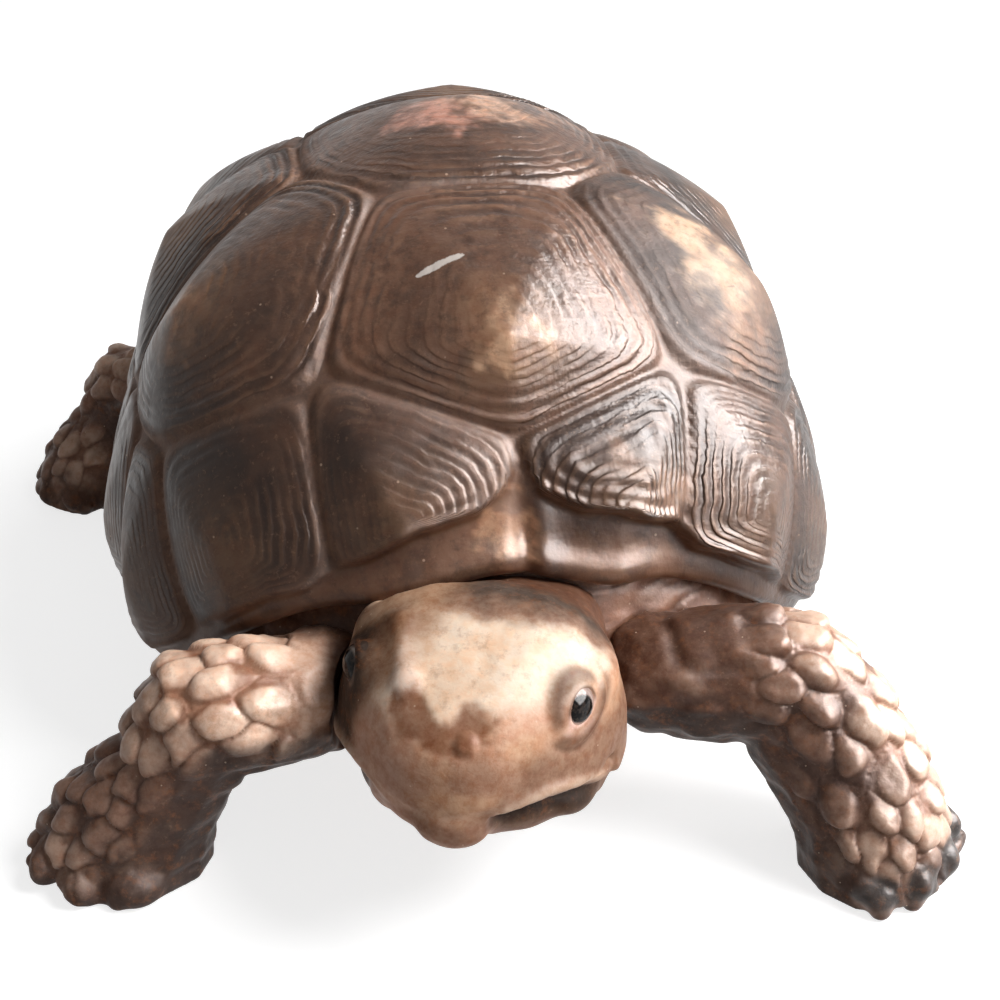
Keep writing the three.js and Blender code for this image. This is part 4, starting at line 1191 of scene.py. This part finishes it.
def face_paint(head):
    """From the pale forehead down to the brown jaw, with a brown crown, painted shade on the right side and
    painted highlights on the edges of the nose and brow.
    """
    low = head.height + 2.6 * (head.tone - 0.5)
    high = ease(28, 30.5, head.height)
    swept = head.forward + 2.4 * (head.tone - 0.5) + 2.4 * (head.grain - 0.5) + 0.014 * head.left ** 2
    rightward = head.left + 3 * (head.tone - 0.5)
    right_nose = ease(-1, -5, head.left) * ease(10, 12.5, head.forward) * ease(31, 28, low)
    crown = ease(3.6, 0.6, swept) * high * ease(-9, -5, head.left)
    crown_tone = toned(linear(158, 123, 102), linear(62, 48, 41), ease(2.0, -3.0, swept))
    temple = ease(-1.5, -7, rightward) * ease(7.5, 4, head.forward) * high
    temple_tone = toned(linear(186, 148, 118), linear(124, 92, 70), ease(0.4, 0.7, head.tone))
    cheek = ease(-2.4, -7.4, rightward) * ease(12.5, 9.5, head.forward)
    cheek = cheek * ease(2, 4, head.forward) * ease(25, 27.5, head.height)
    cheek_tone = toned(linear(150, 110, 82), linear(104, 74, 55), ease(-7, -9.5, head.left))
    under_eye = ease(5.5, 9, head.left) * ease(27.5, 25.0, low)
    # Painted shade: the right side of the head, turned away from the light, painted nearly black-brown, less
    # at the upper temple
    flank = ease(-8.8, -11.0, head.left + 1.0 * (head.tone - 0.5)) * ease(13, 10.5, head.forward)
    flank = flank * (1 - 0.92 * ease(27.5, 29.5, head.height) * ease(4.5, 1.5, head.forward))
    # Painted highlights along the edge of the nose and the right brow
    edge_highlight = np.maximum(head.nose_edge, 0.6 * head.brow_edge * ease(-6.8, -5.6, head.left))
    return washed(
        linear(255, 232, 210),
        (linear(210, 166, 138), ease(31.2, 28.0, low - 0.12 * head.left - 0.5)),
        (linear(172, 134, 111), ease(28.5, 25.0, low - 0.1 * head.left)),
        (linear(148, 113, 93), ease(25.0, 20.0, low)),
        (linear(238, 194, 156), ease(0.45, 0.75, clouds(head.points, 4.5, 103)) * 0.4),
        (linear(196, 158, 140), right_nose * 0.6),
        (crown_tone, crown * 0.95),
        (temple_tone, temple * 0.9),
        (linear(226, 196, 170), blotch(head.points, TEMPLE_SPOT, 2.2, 2.0, 101) * 0.8),
        (cheek_tone, cheek * 0.92),
        (linear(146, 113, 92), under_eye * 0.75),
        (linear(40, 30, 25), flank * 0.97),
        (linear(250, 226, 210), edge_highlight * 0.8),
        (SKIN_BROWN, ease(-3.5, -7, head.forward)),
    )


def feature_paint(head, colours):
    """Paint round the left eye, the outline of the right one, nostrils, jaw and lip."""
    shown = np.where(head.left > 0, 1.0, 0.0)
    lid_tone = toned(linear(96, 68, 54), linear(226, 196, 184), ease(0.4, -0.6, head.height - EYE_AT[2]))
    jaw_shade = ease(5.8, 2.6, head.below) * ease(2, 8, head.forward)
    jaw_tone = toned(linear(124, 95, 77), linear(36, 26, 21), jaw_shade)
    return washed(
        colours,
        (linear(112, 80, 61), head.brow * 0.85 * shown),
        (linear(116, 85, 67), head.bag * 0.85 * shown),
        (linear(104, 75, 60), head.crease * 0.55 * shown),
        (lid_tone, head.lids * 0.9 * shown),
        (linear(232, 200, 188), head.inner_corner * 0.85 * shown),
        (linear(220, 196, 186), head.opening * 0.9 * shown),
        (linear(128, 112, 102), far_lid(head) * 0.55),
        (linear(134, 84, 54), head.nostrils * (0.65 + 0.35 * head.grain)),
        (jaw_tone, head.jaw * 0.95),
        (linear(222, 194, 172), head.lip * ease(3, 6, head.forward) * 0.65),
        (linear(204, 172, 150), head.snout_crease * 0.35),
    )


def make_head(material):
    """Head and neck in one skin, with the face carved and painted."""
    mesh = skinned("head_skin", "head", head_lumps(), grain=0.27, rounds=34)
    points = evened_head(mesh)
    set_points(mesh, points)
    normals = mesh_normals(mesh)
    head = survey_head(points)
    relief = mouth_relief(head) + eye_relief(head) + nose_relief(head) + 0.35 * (clouds(points, 5, 90) - 0.5)
    under_lip = head.jaw * ease(0.8, 1.6, head.below)
    set_points(mesh, relax(mesh, points + normals * relief[:, None], under_lip, rounds=12))
    colours = feature_paint(head, face_paint(head))
    store_colour(mesh, "paint", colours * (0.9 + 0.2 * head.grain)[:, None])
    store(mesh, "gloss", 0.35 + 0.2 * head.tone)
    return make_piece("head_skin", mesh, "head", material)


def make_eye(name, node, side, material):
    """A glossy ball with a black pupil on a pinkish white, or on a dark ground for the shaded right eye."""
    shape = bmesh.new()
    middle = (EYE_AT - EYE_SUNK * EYE_OUT) * np.array([side, 1, 1])
    at = Matrix.Translation(Vector((np.array(head_point(*middle)) + SHIFT) * MM))
    bmesh.ops.create_icosphere(shape, subdivisions=5, radius=EYE_RADIUS * MM, matrix=at)
    mesh = finished_mesh(name, shape)
    points = mesh_points(mesh)
    ahead, up, away = eye_view(points, side)
    look = np.stack([ahead, up, away + EYE_SUNK], -1) / EYE_RADIUS
    far = EYE_RADIUS * np.arccos(np.clip(look @ np.array(EYE_GAZE), -1, 1))
    ground = linear(184, 158, 148) if side > 0 else linear(62, 49, 42)
    ring_tone = linear(206, 186, 178) if side > 0 else linear(150, 138, 130)
    colours = washed(
        ground,
        (linear(14, 13, 13), ease(PUPIL_RADIUS + 0.12, PUPIL_RADIUS - 0.05, far)),
        (ring_tone, bell(far, PUPIL_RADIUS + 0.3, 0.16) * 0.5),
    )
    set_points(mesh, points)
    store_colour(mesh, "paint", colours)
    return make_piece(name, mesh, node, material)


# Body and tail
def make_body(material):
    """Lower shell and the loose skin between the rim and the limbs."""
    mesh = skinned("body_skin", "underbody", [], grain=0.6, rounds=8)
    points = mesh_points(mesh)
    normals = mesh_normals(mesh)
    folds = clouds(points @ np.diag([1, 1, 2.2]), 6, 110)
    wrinkle = np.abs(cloud(points @ np.diag([0.7, 0.7, 2.4]), 4, 114) - 0.5) * 2
    side_wall = ease(9, 14, points[:, 2])
    relief = side_wall * (0.7 * (folds - 0.5) - 0.4 * ease(0.3, 0, wrinkle))
    set_points(mesh, points + normals * relief[:, None])
    tone = clouds(points, 9, 116)
    midline = ease(0.6, 0.15, np.abs(points[:, 0]))
    belly = toned(linear(176, 138, 108), linear(104, 76, 58), 0.7 * midline + 0.5 * tone)
    colours = washed(
        linear(146, 104, 82),
        (linear(92, 64, 50), ease(0.3, 0.8, tone)),
        # Painted highlights on the crests of the folds
        (linear(178, 136, 112), ease(0.5, 0.8, folds) * 0.5),
        (GROOVE_BROWN, ease(0.25, 0, wrinkle) * 0.5 * side_wall),
        (belly, ease(12, 8, points[:, 2])),
    )
    store_colour(mesh, "paint", colours)
    store(mesh, "gloss", np.full(len(points), 0.2))
    return make_piece("body_skin", mesh, "underbody", material)


def make_tail(material):
    """A short cone with small scales."""
    mesh = skinned("tail_skin", "tail", [], grain=0.3, rounds=14)
    points = mesh_points(mesh)
    normals = mesh_normals(mesh)
    ways = np.tile(TAIL_WAY, (len(points), 1))
    picks = spread_scales(points, ways, np.full(len(points), TAIL_SPACING), TAIL_STRETCH, TAIL_SEED)
    radii = np.full(len(picks), TAIL_SCALE_RADIUS)
    dome, gap = scale_field(points, points[picks], ways[picks], radii, TAIL_STRETCH)[:2]
    set_points(mesh, points + normals * (0.55 * dome - 0.4)[:, None])
    colours = washed(
        SKIN_BROWN,
        (DEEP_BROWN, clouds(points, 5, 120)),
        (BEIGE, ease(0.5, 0.95, dome) * 0.5),
        (DEEP_BROWN, ease(0.4, 0, gap) * 0.8),
    )
    store_colour(mesh, "paint", colours)
    store(mesh, "gloss", np.full(len(points), 0.25))
    return make_piece("tail_skin", mesh, "tail", material)


# Finishes
class Nodes:
    """Lays out and joins the nodes of one tree."""

    def __init__(self, tree):
        self.tree = tree

    def node(self, kind, **values):
        made = self.tree.nodes.new(kind)
        for name, value in values.items():
            setattr(made, name, value)
        return made

    def link(self, source, target):
        self.tree.links.new(source, target)

    def math(self, operation, *values):
        made = self.node("ShaderNodeMath", operation=operation)
        for socket, value in zip(made.inputs, values):
            if isinstance(value, (int, float)):
                socket.default_value = value
            else:
                self.link(value, socket)
        return made.outputs[0]

    def span(self, value, low, high, to_low, to_high):
        """A value's range from low to high turned into another, with soft ends."""
        made = self.node("ShaderNodeMapRange", interpolation_type="SMOOTHSTEP")
        self.link(value, made.inputs["Value"])
        for name, number in (("From Min", low), ("From Max", high), ("To Min", to_low), ("To Max", to_high)):
            made.inputs[name].default_value = number
        return made.outputs["Result"]

    def seen_rays(self):
        """1 for what the camera, gloss and clear pieces show, 0 for the light that falls on the figure."""
        path = self.node("ShaderNodeLightPath")
        shown = self.math("MAXIMUM", path.outputs["Is Glossy Ray"], path.outputs["Is Transmission Ray"])
        return self.math("MAXIMUM", path.outputs["Is Camera Ray"], shown)


class Finish(Nodes):
    """One material with its shader."""

    def __init__(self, name):
        self.material = bpy.data.materials.new(name)
        self.material.use_nodes = True
        super().__init__(self.material.node_tree)
        self.shader = self.tree.nodes["Principled BSDF"]
        self.coordinates = self.tree.nodes.new("ShaderNodeTexCoord")

    def attribute(self, name, output="Fac"):
        return self.node("ShaderNodeAttribute", attribute_name=name).outputs[output]

    def noise(self, scale, detail, roughness=0.55):
        made = self.node("ShaderNodeTexNoise")
        made.inputs["Scale"].default_value = scale
        made.inputs["Detail"].default_value = detail
        made.inputs["Roughness"].default_value = roughness
        self.link(self.coordinates.outputs["Object"], made.inputs["Vector"])
        return made.outputs["Fac"]

    def patches(self, grain, low, high, most):
        """Noise of a scale, detail and roughness cut to patches: nothing below low, the most above high."""
        return self.span(self.noise(*grain), low, high, 0, most)

    def stretched_noise(self, scales, detail):
        """Noise drawn out along one direction, as fine striations."""
        mapping = self.node("ShaderNodeMapping")
        mapping.inputs["Scale"].default_value = scales
        self.link(self.coordinates.outputs["Object"], mapping.inputs["Vector"])
        made = self.node("ShaderNodeTexNoise")
        made.inputs["Scale"].default_value = 1.0
        made.inputs["Detail"].default_value = detail
        self.link(mapping.outputs["Vector"], made.inputs["Vector"])
        return made.outputs["Fac"]

    def cells(self, scale, feature):
        made = self.node("ShaderNodeTexVoronoi", feature=feature)
        made.inputs["Scale"].default_value = scale
        self.link(self.coordinates.outputs["Object"], made.inputs["Vector"])
        return made.outputs["Distance"]

    def mix(self, share, ground, colour, blend="MIX"):
        """A colour laid over a ground by a share."""
        made = self.node("ShaderNodeMix", data_type="RGBA", blend_type=blend)
        self.link(share, made.inputs["Factor"])
        self.link(ground, made.inputs[6])
        made.inputs[7].default_value = (*map(float, colour), 1.0)
        return made.outputs[2]

    def bump(self, height, depth, under=None):
        """Fine relief of a depth in millimetres, over the relief under it."""
        made = self.node("ShaderNodeBump")
        made.inputs["Distance"].default_value = depth * MM
        self.link(height, made.inputs["Height"])
        if under is not None:
            self.link(under, made.inputs["Normal"])
        return made.outputs["Normal"]


def shell_finish():
    """Satin painted plastic with growth rings, fine striations, specks and a scratch."""
    f = Finish("painted_shell")

    # Growth rings, steep on one side, and striations across them
    ring = f.math("FRACT", f.math("ADD", f.attribute("rings"), f.math("MULTIPLY", f.noise(330, 3), 0.9)))
    steep = f.math("DIVIDE", ring, 0.3)
    gentle = f.math("DIVIDE", f.math("SUBTRACT", 1.0, ring), 0.7)
    crest = f.span(f.math("MINIMUM", steep, gentle), 0, 0.9, 0, 1)
    broken = f.span(f.noise(150, 2), 0.38, 0.6, 0.25, 1)
    ring_share = f.math("MULTIPLY", f.attribute("ring_share"), broken)
    streaks = f.stretched_noise((1500, 1500, 520), 3)
    weave = f.stretched_noise((420, 1300, 1500), 3)
    wrinkle = f.math("MULTIPLY", f.math("ADD", streaks, weave), f.attribute("wrinkle_share"))
    normal = f.bump(f.math("MULTIPLY", crest, ring_share), 0.22)
    normal = f.bump(f.math("ADD", f.noise(240, 3), f.math("MULTIPLY", wrinkle, 0.9)), 0.09, normal)
    f.link(f.bump(f.noise(1900, 4, 0.6), 0.016, normal), f.shader.inputs["Normal"])

    # Paint, dark in the rings and rubbed on their crests, with grime, dust, crack, scratch and specks
    groove = f.math("MULTIPLY", f.span(crest, 0.8, 0.15, 0, 1), ring_share)
    rubbed = f.math("MULTIPLY", f.span(crest, 0.7, 0.98, 0, 0.25), ring_share)
    ragged = f.math("ADD", f.attribute("scratch"), f.math("MULTIPLY", f.noise(1600, 3), 0.5))
    hair = f.math("MULTIPLY", f.span(f.attribute("hairline"), 0.3, 0.1, 0, 1), 0.6)
    colour = f.attribute("paint", "Color")
    colour = f.mix(f.math("MULTIPLY", groove, 0.62), colour, linear(40, 28, 22))
    colour = f.mix(rubbed, colour, linear(178, 138, 108))
    colour = f.mix(f.patches((650, 5, 0.65), 0.35, 0.7, 0.5), colour, linear(140, 108, 88), "SOFT_LIGHT")
    colour = f.mix(f.patches((420, 6, 0.7), 0.46, 0.64, 0.45), colour, linear(46, 33, 27))
    colour = f.mix(f.patches((1300, 4, 0.7), 0.54, 0.76, 0.3), colour, linear(150, 118, 96))
    colour = f.mix(hair, colour, linear(46, 34, 28))
    colour = f.mix(f.span(ragged, 0.3, 0.12, 0, 0.85), colour, linear(214, 204, 196))
    colour = f.mix(f.span(f.cells(260, "F1"), 0.05, 0.025, 0, 0.6), colour, linear(190, 160, 138))
    f.link(colour, f.shader.inputs["Base Color"])

    # Gloss, duller where the shell is worn
    rough = f.span(f.noise(350, 4), 0.3, 0.7, 0.28, 0.4)
    rough = f.math("ADD", rough, f.math("MULTIPLY", f.attribute("worn"), 0.35))
    f.link(rough, f.shader.inputs["Roughness"])
    f.shader.inputs["Specular IOR Level"].default_value = 0.16
    return f.material


def skin_finish(name, depth, roughness, creases, shine):
    """Satin painted plastic skin: brushed paint, pores and fine creases."""
    f = Finish(name)
    crease = f.span(f.cells(800, "DISTANCE_TO_EDGE"), 0, 0.14, 0, 1)
    normal = f.bump(f.math("ADD", f.noise(500, 3), f.math("MULTIPLY", crease, creases)), depth)
    normal = f.bump(f.noise(1100, 4, 0.65), depth * 0.6, normal)
    f.link(f.bump(f.noise(1800, 4, 0.6), depth * 0.2, normal), f.shader.inputs["Normal"])
    colour = f.attribute("paint", "Color")
    colour = f.mix(f.patches((900, 5, 0.7), 0.35, 0.7, 0.6), colour, linear(112, 80, 62), "SOFT_LIGHT")
    colour = f.mix(f.patches((650, 6, 0.75), 0.5, 0.68, 0.3), colour, linear(150, 92, 54))
    colour = f.mix(f.patches((1500, 4, 0.7), 0.56, 0.76, 0.14), colour, linear(214, 174, 142))
    colour = f.mix(f.span(f.cells(500, "F1"), 0.06, 0.04, 0, 0.45), colour, linear(222, 196, 172))
    f.link(colour, f.shader.inputs["Base Color"])
    rough = f.span(f.noise(300, 3), 0.3, 0.7, roughness - 0.06, roughness + 0.08)
    rough = f.math("SUBTRACT", rough, f.math("MULTIPLY", f.attribute("gloss"), 0.16))
    f.link(rough, f.shader.inputs["Roughness"])
    f.shader.inputs["Specular IOR Level"].default_value = shine
    return f.material


def eye_finish():
    """Smooth glossy paint of the eyes."""
    f = Finish("glossy_eye")
    mottle = f.patches((2500, 3), 0.4, 0.7, 0.3)
    f.link(f.mix(mottle, f.attribute("paint", "Color"), linear(90, 74, 66)), f.shader.inputs["Base Color"])
    f.link(f.span(f.noise(900, 2), 0.3, 0.7, 0.08, 0.14), f.shader.inputs["Roughness"])
    f.shader.inputs["Specular IOR Level"].default_value = 0.08
    return f.material


def floor_finish():
    """A pale floor that takes the shadow and looks white."""
    f = Finish("pale_floor")
    f.link(f.span(f.noise(6, 2), 0.3, 0.7, 0.55, 0.6), f.shader.inputs["Roughness"])
    f.shader.inputs["Base Color"].default_value = (0.5, 0.5, 0.5, 1)
    f.shader.inputs["Specular IOR Level"].default_value = 0.2
    f.shader.inputs["Emission Color"].default_value = WHITE
    f.link(f.math("MULTIPLY", f.seen_rays(), FLOOR_GLOW), f.shader.inputs["Emission Strength"])
    return f.material


# Stage
def make_floor():
    """A wide floor under the figure."""
    shape = bmesh.new()
    bmesh.ops.create_grid(shape, x_segments=4, y_segments=4, size=FLOOR_HALF_SIZE)
    mesh = finished_mesh("floor", shape)
    mesh.materials.append(floor_finish())
    floor = bpy.data.objects.new("floor", mesh)
    bpy.context.scene.collection.objects.link(floor)


def make_surround():
    """A surround that looks white and lights the figure a little."""
    world = bpy.data.worlds.new("white_surround")
    bpy.context.scene.world = world
    world.use_nodes = True
    nodes = Nodes(world.node_tree)
    background = world.node_tree.nodes["Background"]
    background.inputs["Color"].default_value = WHITE
    nodes.link(nodes.span(nodes.seen_rays(), 0, 1, SURROUND_LIGHT, 1), background.inputs["Strength"])


def make_lamps():
    """Key and fill lamps, and a window that shows in gloss only."""
    aim = Vector((SHIFT + LAMP_AIM) * MM)
    for name, way, far, wide, tall, power, gloss_only in LAMPS:
        data = bpy.data.lights.new(name, "AREA")
        data.shape = "RECTANGLE" if gloss_only else "DISK"
        data.size = wide
        data.size_y = tall
        data.energy = power
        lamp = bpy.data.objects.new(name, data)
        direction = Vector(way).normalized()
        lamp.location = aim + direction * far
        lamp.rotation_euler = (-direction).to_track_quat("-Z", "Y").to_euler()
        lamp.visible_diffuse = not gloss_only
        bpy.context.scene.collection.objects.link(lamp)


def make_camera():
    """The camera that was fitted to the photograph's outline."""
    data = bpy.data.cameras.new("photo_camera")
    data.lens = CAMERA_LENS
    data.sensor_width = CAMERA_SENSOR
    camera = bpy.data.objects.new("photo_camera", data)
    camera.location = Vector((CAMERA_AT + SHIFT) * MM)
    ahead = Vector((*(CAMERA_AHEAD * math.cos(CAMERA_DROP)), -math.sin(CAMERA_DROP)))
    camera.rotation_euler = ahead.to_track_quat("-Z", "Y").to_euler()
    bpy.context.scene.collection.objects.link(camera)
    bpy.context.scene.camera = camera


def build():
    """The stage and the ten pieces of the figure."""
    bpy.context.scene.view_settings.view_transform = "Standard"
    make_floor()
    make_surround()
    make_lamps()
    make_camera()
    make_carapace(shell_finish())
    limb_skin = skin_finish("painted_limb", depth=0.08, roughness=0.48, creases=0.05, shine=0.16)
    for node, limb in LIMBS.items():
        make_leg(node, limb, limb_skin)
    make_head(skin_finish("painted_head", depth=0.06, roughness=0.5, creases=0.08, shine=0.05))
    eye = eye_finish()
    make_eye("right_eye_bead", "right_eye", -1, eye)
    make_eye("left_eye_bead", "left_eye", 1, eye)
    make_body(skin_finish("painted_skin", depth=0.08, roughness=0.5, creases=0.03, shine=0.12))
    make_tail(limb_skin)


build()
